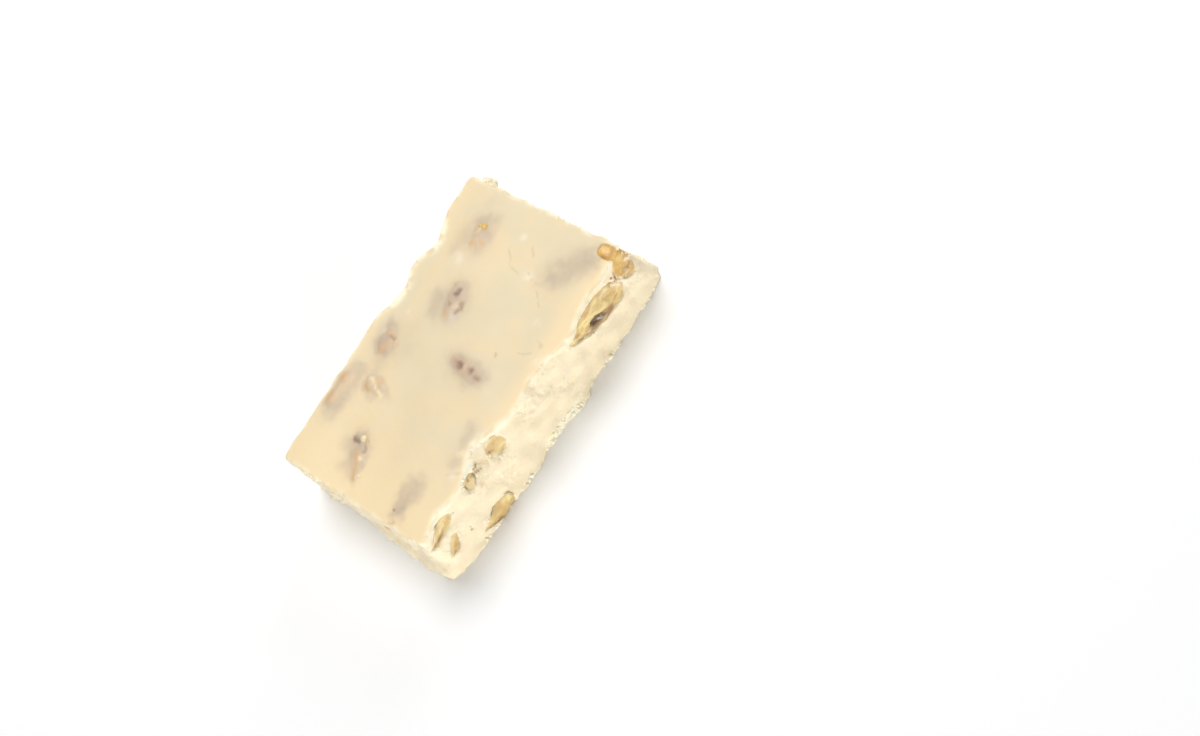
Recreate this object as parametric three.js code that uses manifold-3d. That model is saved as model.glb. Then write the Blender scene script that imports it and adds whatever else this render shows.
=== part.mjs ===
// A slab of pale fudge with walnut pieces, cut from a tray: a satin top, crumbly cut sides and a flat base.
// Millimetres, +Z up. X runs along the slab, from its near end to its far end, and the front is at -Y.
// The origin is at the middle of the base.

import * as THREE from 'three';
import { mergeVertices } from 'three/addons/utils/BufferGeometryUtils.js';
import Module from 'manifold-3d';

const wasm = await Module();
wasm.setup();

// Driving dimensions of the slab
const LENGTH = 100; // top face, along X
const WIDTH = 60; // top face, along Y
const HEIGHT = 22.5;
const FOOT = { near: 1.4, far: 4.3, front: 2.3, back: 3.2 }; // how far the base spreads past the top edge
// A lip along the foot of the near end: how far it stands out, the Y where it is full and the Y where it has
// gone, and the heights between which it rises to the side
const NEAR_LIP = { spread: 1.9, full: -14, none: 12, low: 2.5, high: 7.5 };
const FLARE_POWER = 1.5; // above 1 the sides spread mostly low down
const FRONT_SKEW = 0.016; // the long sides aren't quite parallel
const RIM_RADIUS = 0.9; // soft edge round the top
const FOOT_RADIUS = 0.8; // worn edge round the base
const CORNER_RADIUS = { top: 2, base: 5 };
const SWELL = 0.35; // height of the slow waves in the top
const SWELL_WAVES = [{ a: 0.09, b: 0.05, start: 0 }, { a: -0.06, b: 0.13, start: 2 }]; // over X and Y
const CRAG = 0.4; // depth of the crumbly relief in the cut sides
const CRAG_WAVES = [ // along the side and up it
  { a: 0.61, b: 0.35, start: 1.3 },
  { a: -0.83, b: 0.47, start: 4.1 },
  { a: 0.29, b: 0.97, start: 0 },
];
const BITE_DROP = 9; // how far down the side a crumbled edge reaches
const LUMP_RISE = 6; // how far up the side a squeezed-out lump reaches

// Where the top edges have crumbled back: place along X, depth and half width. A negative depth bulges out.
const FRONT_BITES = [
  { at: -41.5, deep: 1.5, wide: 4.5 },
  { at: -19, deep: 4.3, wide: 7.5 },
  { at: 6, deep: 0.8, wide: 7 },
  { at: 21.5, deep: -2, wide: 6 },
];
const BACK_BITES = [
  { at: 27.5, deep: 3.2, wide: 5.5 },
  { at: 9.5, deep: 2.6, wide: 6.5 },
];

// Lumps of crumb squeezed out along the foot of the front and back: place along X, depth and half width
const FOOT_LUMPS = [
  { at: -44, deep: -1.2, wide: 5 },
  { at: -14, deep: 0.9, wide: 3.5 },
  { at: 8, deep: 1.3, wide: 4.5 },
  { at: 33, deep: 0.5, wide: 6 },
];

// Mesh fineness
const COLUMNS = 34; // along X
const ROWS = 20; // along Y
const SIDE_BANDS = 6;
const NUT_DETAIL = 1;
const LARGE_NUT = 10; // nuts longer than this get one step more detail
const GAP = 0.3; // clearance between a nut and its pocket

// Lobes of a nut: how many go round it, their height as a share of its radius and their shift from nut to nut
const ROUND_LOBES = [{ count: 3, height: 0.1, shift: 2.1 }, { count: 5, height: 0.07, shift: 1.3 }];
const END_LOBES = { count: 4, height: 0.06 };

// Between which places along a nut, from -1 to 1, a tapered end thins and a blunt end fills out
const TAPER_RUN = [-0.8, 0.3];
const BLUNT_RUN = [0.55, 1];

// Walnut pieces on each face. at is a nut's place: X and Z on the front and back, Y and Z on the ends, X and
// Y on the top. size is its length along the face, its height across it and its depth into the slab, turn is
// its tilt on the face in degrees, and sunk is how far its middle lies inside the face. lean is how far it
// leans into the slab in degrees, taper thins one end, blunt fills out the other, lobes is how lumpy it is,
// and room is a wider gap, where the fudge has broken away. Nuts at the sides were sliced with the slab, and
// nuts on top stand a little out of it.
const NUTS = {
  front: [
    {
      at: [46.9, 18.4], size: [13.4, 9.6, 10.2], turn: -90, sunk: 2.2,
      lean: 32, taper: 0.45, lobes: 0.5, room: 0.5,
    },
    { at: [31.2, 15.9], size: [23.4, 10, 9], turn: -14, sunk: -0.4, blunt: 0.35, lobes: 0.4 },
    { at: [-15, 17.5], size: [7.6, 6.2, 7], turn: 10, sunk: 1.1, lobes: 0.4 },
    { at: [-27.8, 19.1], size: [5.8, 4.6, 6], turn: 20, sunk: 1, lobes: 0.5 },
    { at: [-43.5, 18.4], size: [12.8, 4.6, 8], turn: 12, sunk: 1.3, taper: 0.35, lobes: 0.5 },
    { at: [-44.2, 10.9], size: [8.2, 4, 6], turn: 42, sunk: 1, lobes: 0.5 },
    { at: [-30.3, 3.1], size: [13.6, 6.8, 9], turn: -4, sunk: 0.6, taper: 0.7, blunt: 0.9, lobes: 0.3 },
  ],
  top: [
    { at: [36, 14.2], size: [13, 6, 5], turn: 20, sunk: 2 },
    { at: [14.6, 8.6], size: [13, 7, 5], turn: 10, sunk: 2 },
    { at: [-5, 21.6], size: [11, 5.6, 5], turn: 16, sunk: 2 },
    { at: [-18.2, 16], size: [10, 5, 5], turn: 74, sunk: 1.9 },
    { at: [-24.6, 25.8], size: [13, 5, 5], turn: 0, sunk: 2 },
    { at: [-1.3, -8.8], size: [15, 5, 5], turn: 84, sunk: 2 },
    { at: [-37.8, 7], size: [16, 6, 5], turn: 30, sunk: 1.9 },
  ],
  back: [
    { at: [38, 12.6], size: [15, 7, 8], turn: 12, sunk: 1.4 },
    { at: [18, 15.4], size: [9, 6, 7], turn: -24, sunk: 1.2 },
    { at: [-1, 7.4], size: [18, 6.6, 9], turn: 6, sunk: 1.5 },
    { at: [-21, 12.4], size: [8, 8, 7], turn: 30, sunk: 1.2 },
    { at: [-39, 14.2], size: [14, 5.6, 8], turn: -16, sunk: 1.4 },
  ],
  near: [
    { at: [15, 14], size: [12, 6, 8], turn: 18, sunk: 1.3 },
    { at: [-7, 12.6], size: [8.4, 5.4, 7], turn: -14, sunk: 1.2 },
  ],
  far: [
    { at: [-4, 13.4], size: [14, 6.6, 8], turn: -10, sunk: 1.3 },
    { at: [17, 11.4], size: [8.6, 7, 7], turn: 25, sunk: 1.2 },
  ],
};

const FUDGE = new THREE.MeshStandardMaterial({ color: 0xeddcbb, roughness: 0.5, metalness: 0 });
const WALNUT = new THREE.MeshStandardMaterial({ color: 0xdfbf86, roughness: 0.6, metalness: 0 });

const { lerp, clamp, smoothstep } = THREE.MathUtils;

// Shape of the slab

/** Uneven waves between -1 and 1 over two directions. */
function ripple(waves, a, b) {
  return waves.reduce((sum, wave) => sum + Math.sin(wave.a * a + wave.b * b + wave.start), 0) / waves.length;
}

/** How far a list of bites or lumps moves an edge at one place along it. */
function moved(places, along) {
  return places.reduce((sum, { at, deep, wide }) => sum + deep * Math.exp(-(((along - at) / wide) ** 2)), 0);
}

const flare = (z) => (1 - z / HEIGHT) ** FLARE_POWER;
const crumbled = (z) => smoothstep(z, HEIGHT - BITE_DROP, HEIGHT);
const squeezed = (z) => 1 - smoothstep(z, 0, LUMP_RISE);
const lipAlong = (y) => NEAR_LIP.spread * (1 - smoothstep(y, NEAR_LIP.full, NEAR_LIP.none));
const lipUp = (z) => 1 - smoothstep(z, NEAR_LIP.low, NEAR_LIP.high);

/** The four sides of the slab: how far out each stands, at a place along it and a height. */
const SIDES = {
  near: (y, z) => -LENGTH / 2 - FOOT.near * flare(z) - lipAlong(y) * lipUp(z),
  far: (y, z) => LENGTH / 2 + FOOT.far * flare(z),
  front: (x, z) => -WIDTH / 2 - FRONT_SKEW * x + moved(FRONT_BITES, x) * crumbled(z)
    - FOOT.front * flare(z) - moved(FOOT_LUMPS, x) * squeezed(z),
  back: (x, z) => WIDTH / 2 - moved(BACK_BITES, x) * crumbled(z)
    + FOOT.back * flare(z) + moved(FOOT_LUMPS, -x) * squeezed(z),
};

/** Height of the top face over one place. */
function topHeight(x, y) {
  return HEIGHT + SWELL * ripple(SWELL_WAVES, x, y);
}

/** Rounds the corners of the plan: u and v run from -1 to 1 along and across the slab. */
function roundedCorner(u, v, radius) {
  const x = u * LENGTH / 2;
  const y = v * WIDTH / 2;
  const innerX = clamp(x, radius - LENGTH / 2, LENGTH / 2 - radius);
  const innerY = clamp(y, radius - WIDTH / 2, WIDTH / 2 - radius);
  const reach = Math.hypot(x - innerX, y - innerY);
  const scale = reach > 0 ? Math.max(Math.abs(x - innerX), Math.abs(y - innerY)) / reach : 1;
  return {
    u: (innerX + (x - innerX) * scale) / (LENGTH / 2),
    v: (innerY + (y - innerY) * scale) / (WIDTH / 2),
  };
}

/** A point of the slab: u and v place it in the plan, z is its height on a level slab, inset draws it in. */
function slabPoint(u, v, z, inset) {
  const plan = roundedCorner(u, v, lerp(CORNER_RADIUS.base, CORNER_RADIUS.top, z / HEIGHT));
  const straightX = plan.u * LENGTH / 2;
  const straightY = plan.v * WIDTH / 2;
  const near = SIDES.near(straightY, z) + inset;
  const far = SIDES.far(straightY, z) - inset;
  const front = SIDES.front(straightX, z) + inset;
  const back = SIDES.back(straightX, z) - inset;
  let x = lerp(near, far, (plan.u + 1) / 2);
  let y = lerp(front, back, (plan.v + 1) / 2);
  if (Math.abs(u) === 1) {
    x += u * CRAG * ripple(CRAG_WAVES, straightY, z);
  }
  if (Math.abs(v) === 1) {
    y += v * CRAG * ripple(CRAG_WAVES, straightX, z);
  }
  return [x, y, z * topHeight(x, y) / HEIGHT];
}

/** Height and inset of each ring from the top edge, round the rim, down the side and under the foot. */
function sideLevels() {
  const levels = [];
  for (const angle of [0, Math.PI / 4]) {
    const down = RIM_RADIUS * (1 - Math.cos(angle));
    const inset = RIM_RADIUS * (1 - Math.sin(angle));
    levels.push({ z: HEIGHT - down, inset });
  }
  for (let band = 0; band <= SIDE_BANDS; band++) {
    levels.push({ z: lerp(HEIGHT - RIM_RADIUS, FOOT_RADIUS, band / SIDE_BANDS), inset: 0 });
  }
  levels.push({ z: 0, inset: FOOT_RADIUS / 2 });
  return levels;
}

/** The plan's edge as a list of u and v, anticlockwise from the near front corner. */
function planEdge() {
  const edge = [];
  for (let column = 0; column < COLUMNS; column++) {
    edge.push([(2 * column) / COLUMNS - 1, -1]);
  }
  for (let row = 0; row < ROWS; row++) {
    edge.push([1, (2 * row) / ROWS - 1]);
  }
  const half = edge.map(([u, v]) => [-u, -v]);
  return edge.concat(half);
}

/** The whole slab before its pockets: a grid over the top, bands down the sides and a flat base. */
function slabGeometry() {
  const positions = [];
  const faces = [];
  const point = (coordinates) => positions.push(...coordinates) / 3 - 1; // adds a point and gives its number

  const grid = [];
  for (let row = 0; row <= ROWS; row++) {
    grid.push([]);
    for (let column = 0; column <= COLUMNS; column++) {
      grid[row].push(point(slabPoint((2 * column) / COLUMNS - 1, (2 * row) / ROWS - 1, HEIGHT, RIM_RADIUS)));
    }
  }
  for (let row = 0; row < ROWS; row++) {
    for (let column = 0; column < COLUMNS; column++) {
      const [a, b] = [grid[row][column], grid[row][column + 1]];
      const [d, c] = [grid[row + 1][column], grid[row + 1][column + 1]];
      faces.push(a, b, c, a, c, d);
    }
  }

  const edge = planEdge();
  const rings = sideLevels().map(({ z, inset }) => edge.map(([u, v]) => point(slabPoint(u, v, z, inset))));
  const middle = point([0, 0, 0]);
  const base = rings.at(-1);
  for (let i = 0; i < edge.length; i++) {
    const next = (i + 1) % edge.length;
    for (let ring = 0; ring < rings.length - 1; ring++) {
      const [upper, lower] = [rings[ring], rings[ring + 1]];
      faces.push(upper[i], lower[i], lower[next], upper[i], lower[next], upper[next]);
    }
    faces.push(middle, base[next], base[i]);
  }

  const geometry = new THREE.BufferGeometry();
  geometry.setAttribute('position', new THREE.Float32BufferAttribute(positions, 3));
  geometry.setIndex(faces);
  return mergeVertices(geometry);
}

// Walnut pieces

const [X, Y, Z] = [new THREE.Vector3(1, 0, 0), new THREE.Vector3(0, 1, 0), new THREE.Vector3(0, 0, 1)];

/** Each face's directions (along, across and out of it) and a point on it or sunk inside it. */
const FACES = {
  front: {
    axes: [X, Z, Y.clone().negate()],
    point: (x, z, sunk) => new THREE.Vector3(x, SIDES.front(x, z) + sunk, z),
  },
  back: {
    axes: [X.clone().negate(), Z, Y],
    point: (x, z, sunk) => new THREE.Vector3(x, SIDES.back(x, z) - sunk, z),
  },
  near: {
    axes: [Y.clone().negate(), Z, X.clone().negate()],
    point: (y, z, sunk) => new THREE.Vector3(SIDES.near(y, z) + sunk, y, z),
  },
  far: {
    axes: [Y, Z, X],
    point: (y, z, sunk) => new THREE.Vector3(SIDES.far(y, z) - sunk, y, z),
  },
  top: {
    axes: [X, Y, Z],
    point: (x, y, sunk) => new THREE.Vector3(x, y, topHeight(x, y) - sunk),
  },
};

/** Radius of a lobed nut in one direction, about 1. */
function lobedRadius(direction, nut, seed) {
  const angle = Math.atan2(direction.y, direction.x);
  const girth = 1 - direction.z ** 2;
  let lobes = END_LOBES.height * Math.sin(END_LOBES.count * direction.z + seed);
  for (const { count, height, shift } of ROUND_LOBES) {
    lobes += girth * height * Math.sin(count * angle + shift * seed);
  }
  return 1 + (nut.lobes ?? 1) * lobes;
}

/** How tall a nut is at one place along it, as a share: less at a tapered end, more at a blunt one. */
function endThinning(along, nut) {
  const thinned = (nut.taper ?? 0) * (1 - smoothstep(along, ...TAPER_RUN));
  const filled = (nut.blunt ?? 0) * smoothstep(along, ...BLUNT_RUN);
  return 1 - thinned + filled;
}

/** A nut on one face as a lobed ball at its place, grown by a margin for its pocket. */
function nutGeometry(face, nut, seed, margin) {
  const ball = new THREE.IcosahedronGeometry(1, nut.size[0] > LARGE_NUT ? NUT_DETAIL + 1 : NUT_DETAIL);
  ball.deleteAttribute('normal');
  ball.deleteAttribute('uv');
  const geometry = mergeVertices(ball);
  const half = new THREE.Vector3(...nut.size).multiplyScalar(0.5).addScalar(margin);
  const vertices = geometry.attributes.position;
  const vertex = new THREE.Vector3();
  for (let i = 0; i < vertices.count; i++) {
    vertex.fromBufferAttribute(vertices, i).normalize();
    vertex.multiplyScalar(lobedRadius(vertex, nut, seed));
    vertex.y *= endThinning(vertex.x, nut);
    vertex.multiply(half);
    vertices.setXYZ(i, vertex.x, vertex.y, vertex.z);
  }
  geometry.rotateZ(THREE.MathUtils.degToRad(nut.turn));
  geometry.rotateX(THREE.MathUtils.degToRad(-(nut.lean ?? 0)));
  geometry.applyMatrix4(new THREE.Matrix4().makeBasis(...face.axes));
  const place = face.point(...nut.at, nut.sunk);
  geometry.translate(place.x, place.y, place.z);
  return geometry;
}

// Solids

function toSolid(geometry) {
  const vertProperties = new Float32Array(geometry.attributes.position.array);
  const triVerts = new Uint32Array(geometry.index.array);
  return new wasm.Manifold(new wasm.Mesh({ numProp: 3, vertProperties, triVerts }));
}

function toMesh(name, solid, material) {
  const { vertProperties, triVerts } = solid.getMesh();
  const geometry = new THREE.BufferGeometry();
  geometry.setAttribute('position', new THREE.BufferAttribute(vertProperties, 3));
  geometry.setIndex(new THREE.BufferAttribute(triVerts, 1));
  geometry.computeVertexNormals();
  const mesh = new THREE.Mesh(geometry, material);
  mesh.name = name;
  return mesh;
}

const slab = toSolid(slabGeometry());
const pieces = new THREE.Group();
let fudge = slab;
let seed = 0;
for (const side of Object.keys(NUTS)) {
  for (const [index, nut] of NUTS[side].entries()) {
    seed += 1;
    const pocket = toSolid(nutGeometry(FACES[side], nut, seed, nut.room ?? GAP));
    const whole = toSolid(nutGeometry(FACES[side], nut, seed, 0));
    const shown = side === 'top' ? whole : whole.intersect(slab);
    pieces.add(toMesh(`walnut_${side}_${index + 1}`, shown, WALNUT));
    fudge = fudge.subtract(pocket);
  }
}
pieces.add(toMesh('fudge', fudge, FUDGE));

// The base's middle goes to the origin
const middle = new THREE.Box3().setFromObject(pieces).getCenter(new THREE.Vector3());
pieces.position.set(-middle.x, -middle.y, 0);

const part = new THREE.Group();
part.add(pieces);

export default part;
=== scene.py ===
"""Looks of a slab of pale fudge with walnut pieces: a satin top, crumbly cut sides and sliced nuts.

Sizes in this script are millimetres, and meshes are scaled to metres where they are made. X runs along the
slab from its near end to its far end, the front is at -Y and Z is up. A pair of numbers called a run, a
border or an edge says where something begins and where it is full.
"""

import math

import bmesh
import bpy
import numpy as np
from mathutils import Matrix, Vector


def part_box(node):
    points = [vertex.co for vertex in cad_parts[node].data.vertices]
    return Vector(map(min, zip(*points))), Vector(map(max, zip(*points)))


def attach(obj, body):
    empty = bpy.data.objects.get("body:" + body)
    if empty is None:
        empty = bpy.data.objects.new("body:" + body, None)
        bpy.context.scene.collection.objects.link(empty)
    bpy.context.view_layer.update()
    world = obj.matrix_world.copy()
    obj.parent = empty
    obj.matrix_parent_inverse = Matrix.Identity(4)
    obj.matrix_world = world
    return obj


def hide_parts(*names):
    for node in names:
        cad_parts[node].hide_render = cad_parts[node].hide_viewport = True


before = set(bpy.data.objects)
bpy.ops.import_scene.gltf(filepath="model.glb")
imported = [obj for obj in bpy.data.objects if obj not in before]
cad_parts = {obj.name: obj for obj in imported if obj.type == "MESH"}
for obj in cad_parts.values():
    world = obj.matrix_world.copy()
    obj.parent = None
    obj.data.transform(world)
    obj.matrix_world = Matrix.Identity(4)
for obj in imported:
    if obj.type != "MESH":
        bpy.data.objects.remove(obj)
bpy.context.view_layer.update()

MM = 0.001
TINY = 1e-9  # least length that is divided by

# Camera: the floor point it looks at, its place round that point and its turn about its own line of sight
CAMERA_AIM = (19.9, -31.6, 0.0)
CAMERA_DISTANCE = 571.8
CAMERA_AZIMUTH = -12.2
CAMERA_ELEVATION = 55.1
CAMERA_ROLL = -47.1
CAMERA_LENS = 60.0
CAMERA_SENSOR = 36.0

# Shape of the slab, as in its solid
LENGTH = 100.0
WIDTH = 60.0
HEIGHT = 22.5
FOOT = {"near": 1.4, "far": 4.3, "front": 2.3, "back": 3.2}
NEAR_LIP = {"spread": 1.9, "full": -14.0, "none": 12.0, "low": 2.5, "high": 7.5}
FLARE_POWER = 1.5
FRONT_SKEW = 0.016
RIM_RADIUS = 0.9
FOOT_RADIUS = 0.8
CORNER_RADIUS = {"top": 2.0, "base": 5.0}
SWELL = 0.35
SWELL_WAVES = [(0.09, 0.05, 0.0), (-0.06, 0.13, 2.0)]
CRAG = 0.4
CRAG_WAVES = [(0.61, 0.35, 1.3), (-0.83, 0.47, 4.1), (0.29, 0.97, 0.0)]
CRAG_FADE = 4.0  # how far in from the edge the crags die out over the top
BITE_DROP = 9.0
LUMP_RISE = 6.0

# Crumbled top edges and squeezed-out feet: place along X, depth and half width
FRONT_BITES = [(-41.5, 1.5, 4.5), (-19.0, 4.3, 7.5), (6.0, 0.8, 7.0), (21.5, -2.0, 6.0)]
BACK_BITES = [(27.5, 3.2, 5.5), (9.5, 2.6, 6.5)]
FOOT_LUMPS = [(-44.0, -1.2, 5.0), (-14.0, 0.9, 3.5), (8.0, 1.3, 4.5), (33.0, 0.5, 6.0)]

# Fineness of the slab's mesh, and of the balls that nuts and crumbs are made from
COLUMNS = 232
ROWS = 138
RIM_STEPS = 5
SIDE_BANDS = 46
FOOT_STEPS = 3
BALL = {"long nut": 5, "nut": 4, "crumb": 2}
LONG_NUT = 6.5  # half length over which a nut counts as long

# Walnut pieces on each face, as in their solids: place on the face, size along it, across it and into it,
# tilt on the face in degrees and how far the middle lies inside, or outside if negative
NUTS = {
    "front": [
        ((46.9, 18.4), (13.4, 9.6, 10.2), -90, 2.2),
        ((31.2, 15.9), (23.4, 10.0, 9.0), -14, -0.4),
        ((-15.0, 17.5), (7.6, 6.2, 7.0), 10, 1.1),
        ((-27.8, 19.1), (5.8, 4.6, 6.0), 20, 1.0),
        ((-43.5, 18.4), (12.8, 4.6, 8.0), 12, 1.3),
        ((-44.2, 10.9), (8.2, 4.0, 6.0), 42, 1.0),
        ((-30.3, 3.1), (13.6, 6.8, 9.0), -4, 0.6),
    ],
    "top": [
        ((36.0, 14.2), (13.0, 6.0, 5.0), 20, 2.0),
        ((14.6, 8.6), (13.0, 7.0, 5.0), 10, 2.0),
        ((-5.0, 21.6), (11.0, 5.6, 5.0), 16, 2.0),
        ((-18.2, 16.0), (10.0, 5.0, 5.0), 74, 1.9),
        ((-24.6, 25.8), (13.0, 5.0, 5.0), 0, 2.0),
        ((-1.3, -8.8), (15.0, 5.0, 5.0), 84, 2.0),
        ((-37.8, 7.0), (16.0, 6.0, 5.0), 30, 1.9),
    ],
    "back": [
        ((38.0, 12.6), (15.0, 7.0, 8.0), 12, 1.4),
        ((18.0, 15.4), (9.0, 6.0, 7.0), -24, 1.2),
        ((-1.0, 7.4), (18.0, 6.6, 9.0), 6, 1.5),
        ((-21.0, 12.4), (8.0, 8.0, 7.0), 30, 1.2),
        ((-39.0, 14.2), (14.0, 5.6, 8.0), -16, 1.4),
    ],
    "near": [
        ((15.0, 14.0), (12.0, 6.0, 8.0), 18, 1.3),
        ((-7.0, 12.6), (8.4, 5.4, 7.0), -14, 1.2),
    ],
    "far": [
        ((-4.0, 13.4), (14.0, 6.6, 8.0), -10, 1.3),
        ((17.0, 11.4), (8.6, 7.0, 7.0), 25, 1.2),
    ],
}
ROUND_LOBES = [(3, 0.10, 2.1), (5, 0.07, 1.3)]
END_LOBES = (4, 0.06)

# Between which places along a nut, from -1 to 1, a tapered end thins and a blunt end fills out
TAPER_RUN = (-0.8, 0.3)
BLUNT_RUN = (0.55, 1.0)

# Forms of single nuts, as in their solids: taper thins one end, blunt fills out the other, lobes is how lumpy
# it is and lean is how far it leans into the slab in degrees
PLAIN_FORM = {"taper": 0.0, "blunt": 0.0, "lobes": 1.0, "lean": 0.0}
NUT_FORMS = {
    "walnut_front_1": {"lean": 32.0, "taper": 0.45, "lobes": 0.5},
    "walnut_front_2": {"blunt": 0.35, "lobes": 0.4},
    "walnut_front_3": {"lobes": 0.4},
    "walnut_front_4": {"lobes": 0.5},
    "walnut_front_5": {"taper": 0.35, "lobes": 0.5},
    "walnut_front_6": {"lobes": 0.5},
    "walnut_front_7": {"taper": 0.7, "blunt": 0.9, "lobes": 0.3},
}

# Looks of single nuts: recess is how far a cut face lies inside the slab's side, room is how far the fudge
# has broken away round it, fold and chip are how deep its folds and broken places are, rind and under are
# how much brown skin shows at its border and along its lower tail, dark is how brown that is, amber is how
# yellow and deep how dark its flesh is, smear is how much fudge is smeared over its border, milky is how
# much a thin veil of fudge pales it and grains is how grainy it is
PLAIN_LOOK = {
    "recess": 0.1, "room": 0.0, "fold": 0.3, "chip": 0.3, "rind": 0.4, "under": 0.0, "dark": 0.4,
    "amber": 0.0, "deep": 0.0, "smear": 0.4, "milky": 0.0, "grains": 0.4,
}
NUT_LOOKS = {
    "walnut_front_1": {"recess": 0.2, "room": 0.4, "chip": 0.5, "rind": 0.6, "amber": 1.0, "deep": 0.95,
                       "smear": 0.0, "grains": 0.5},
    "walnut_front_2": {"recess": 0.4, "room": 0.3, "chip": 0.5, "rind": 0.8, "under": 0.8, "smear": 0.1,
                       "grains": 0.6},
    "walnut_front_3": {"chip": 0.15, "deep": 0.3, "smear": 0.25, "grains": 0.1},
    "walnut_front_4": {"room": 0.2, "chip": 0.5, "rind": 1.0, "dark": 0.9, "deep": 0.3, "smear": 0.1,
                       "milky": 0.2, "grains": 1.0},
    "walnut_front_5": {"room": 0.3, "chip": 0.4, "deep": 0.1, "smear": 0.25, "grains": 0.9},
    "walnut_front_6": {"chip": 0.4, "deep": 0.6, "smear": 0.3, "grains": 0.7},
    "walnut_front_7": {"room": 0.15, "chip": 0.12, "rind": 0.8, "under": 1.0, "dark": 0.5, "smear": -0.3,
                       "grains": 0.1},
    "walnut_top_2": {"dark": 0.7},
    "walnut_top_3": {"dark": 0.7},
    "walnut_top_6": {"dark": 1.0},
}

# The corner nut's top is a smooth knob: its middle and half sizes, its height, how fast it falls away, how
# fast where it runs out into the flesh and which way that is, the level of that flesh, how far below that
# level it begins and is full, how far out it ends and how round it is at the slab's edge
KNOB_NUT = "walnut_front_1"
KNOB = {
    "at": (46.8, -25.4), "half": (2.3, 2.8), "top": 22.9, "fall": 0.8, "slow_fall": 0.35,
    "toward": (0.3, -0.95), "least": 22.0, "begins": 1.4, "full": 0.2, "edge": (0.9, 1.25), "round": 1.6,
}
# The dark line round the knob, partly brown skin and partly painted shade in the crevice round it: how far
# out it lies, how wide it is and how much of it is left by the flesh
KNOB_LINE = {"at": 1.15, "wide": 0.22, "by_flesh": 0.3}
# Golden flesh of the corner nut: the place on its face up and to the left of which it turns golden, over what
# length, how golden it is on either side and in the knob's middle, and how far out that middle reaches
KNOB_GOLD = {
    "at": (46.4, 18.4), "spread": 3.5, "least": 0.1, "most": 0.65, "middle": 0.75, "edge": (0.3, 1.0),
}

# A hollow in the cut face of the long front nut: middle X and Z, half sizes, tilt in degrees, depth, how
# uneven its border is and where that lies, how crumpled it is, and the depths lined with skin and painted
# darkest with shade
HOLLOW_NUT = "walnut_front_2"
HOLLOW = {
    "at": (30.4, 13.0), "half": (4.0, 1.7), "turn": -20.0, "deep": 1.4, "uneven": 0.25, "edge": (0.5, 1.1),
    "crumple": 0.6, "lined": (0.1, 0.6), "core": (0.45, 1.1),
}
# Brown skin below it: how far it lies from the hollow, how much larger it is and where its border lies
HOLLOW_RIND = {"shift": (1.6, -0.9), "grow": 1.3, "edge": (0.7, 1.1)}

# Marks on the cut faces of front nuts: kind, X, Z, half length, half width and turn in degrees. Fudge is a
# bit of it, veil a thin film of it, brown a strip of skin, and pale and deep are paler and deeper flesh
NUT_MARKS = {
    "walnut_front_1": [
        ("fudge", 45.8, 14.8, 0.8, 0.5, 20), ("brown", 44.9, 14.2, 1.0, 0.4, 10),
        ("brown", 48.6, 18.4, 1.3, 0.3, -60), ("brown", 48.0, 15.7, 1.2, 0.25, 25),
        ("fudge", 49.9, 15.2, 2.1, 0.6, -73), ("fudge", 48.7, 17.9, 1.3, 0.5, -54),
        ("brown", 42.9, 18.7, 1.0, 0.4, 80), ("pale", 47.0, 20.6, 1.6, 1.0, -30),
        ("deep", 45.0, 16.6, 1.8, 1.0, 0),
    ],
    "walnut_front_2": [
        ("pale", 32.0, 18.4, 2.6, 0.6, 10), ("pale", 27.2, 18.0, 2.6, 0.6, -4),
        ("pale", 23.6, 19.8, 1.8, 0.6, -35), ("pale", 36.6, 17.4, 1.8, 0.4, -10),
        ("fudge", 35.0, 19.8, 0.5, 0.4, 0), ("brown", 40.0, 17.6, 1.2, 0.35, 70),
        ("brown", 38.6, 12.2, 1.1, 0.3, 12), ("brown", 36.0, 11.3, 1.1, 0.3, 15),
        ("brown", 22.4, 17.4, 1.6, 0.4, -40), ("fudge", 41.3, 15.5, 1.8, 0.9, -59),
        ("veil", 37.0, 17.3, 2.2, 0.7, -8), ("deep", 31.0, 20.4, 6.0, 0.9, -4),
        ("deep", 37.6, 14.6, 2.6, 0.9, -20),
    ],
    "walnut_front_3": [("brown", -17.3, 17.7, 0.9, 0.45, 20), ("fudge", -17.6, 16.6, 1.0, 0.8, 0)],
    "walnut_front_4": [
        ("pale", -28.6, 18.4, 1.1, 0.7, 20), ("brown", -29.6, 19.8, 1.4, 0.4, 75),
        ("brown", -26.2, 20.6, 1.2, 0.45, -25), ("brown", -25.6, 18.4, 1.2, 0.45, 75),
        ("fudge", -27.6, 18.0, 0.4, 0.3, 0), ("fudge", -28.4, 17.1, 1.3, 0.5, 25),
        ("fudge", -29.9, 20.9, 0.9, 0.5, 30), ("veil", -29.2, 18.9, 1.3, 0.6, 30),
        ("brown", -27.4, 19.8, 0.9, 0.25, 60), ("fudge", -25.7, 20.6, 0.5, 0.4, 0),
    ],
    "walnut_front_5": [
        ("fudge", -43.0, 18.6, 1.6, 0.3, 25), ("brown", -48.4, 17.2, 1.4, 0.4, 12),
        ("brown", -44.6, 17.0, 1.6, 0.3, 5),
    ],
    "walnut_front_6": [("brown", -46.0, 9.2, 1.0, 0.5, 40), ("brown", -44.9, 12.4, 1.4, 0.3, 50)],
    "walnut_front_7": [
        ("brown", -31.2, 0.9, 1.6, 0.3, -15), ("brown", -34.0, 2.0, 1.8, 0.35, -8),
        ("brown", -36.4, 2.5, 1.2, 0.5, 0), ("brown", -28.8, 6.1, 1.2, 0.3, 10),
    ],
}
MARK_FADE = 2.2  # how sharply a mark ends
MARK_DEEP = 0.15  # how deep brown marks lie, and how far bits of fudge stand out

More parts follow.
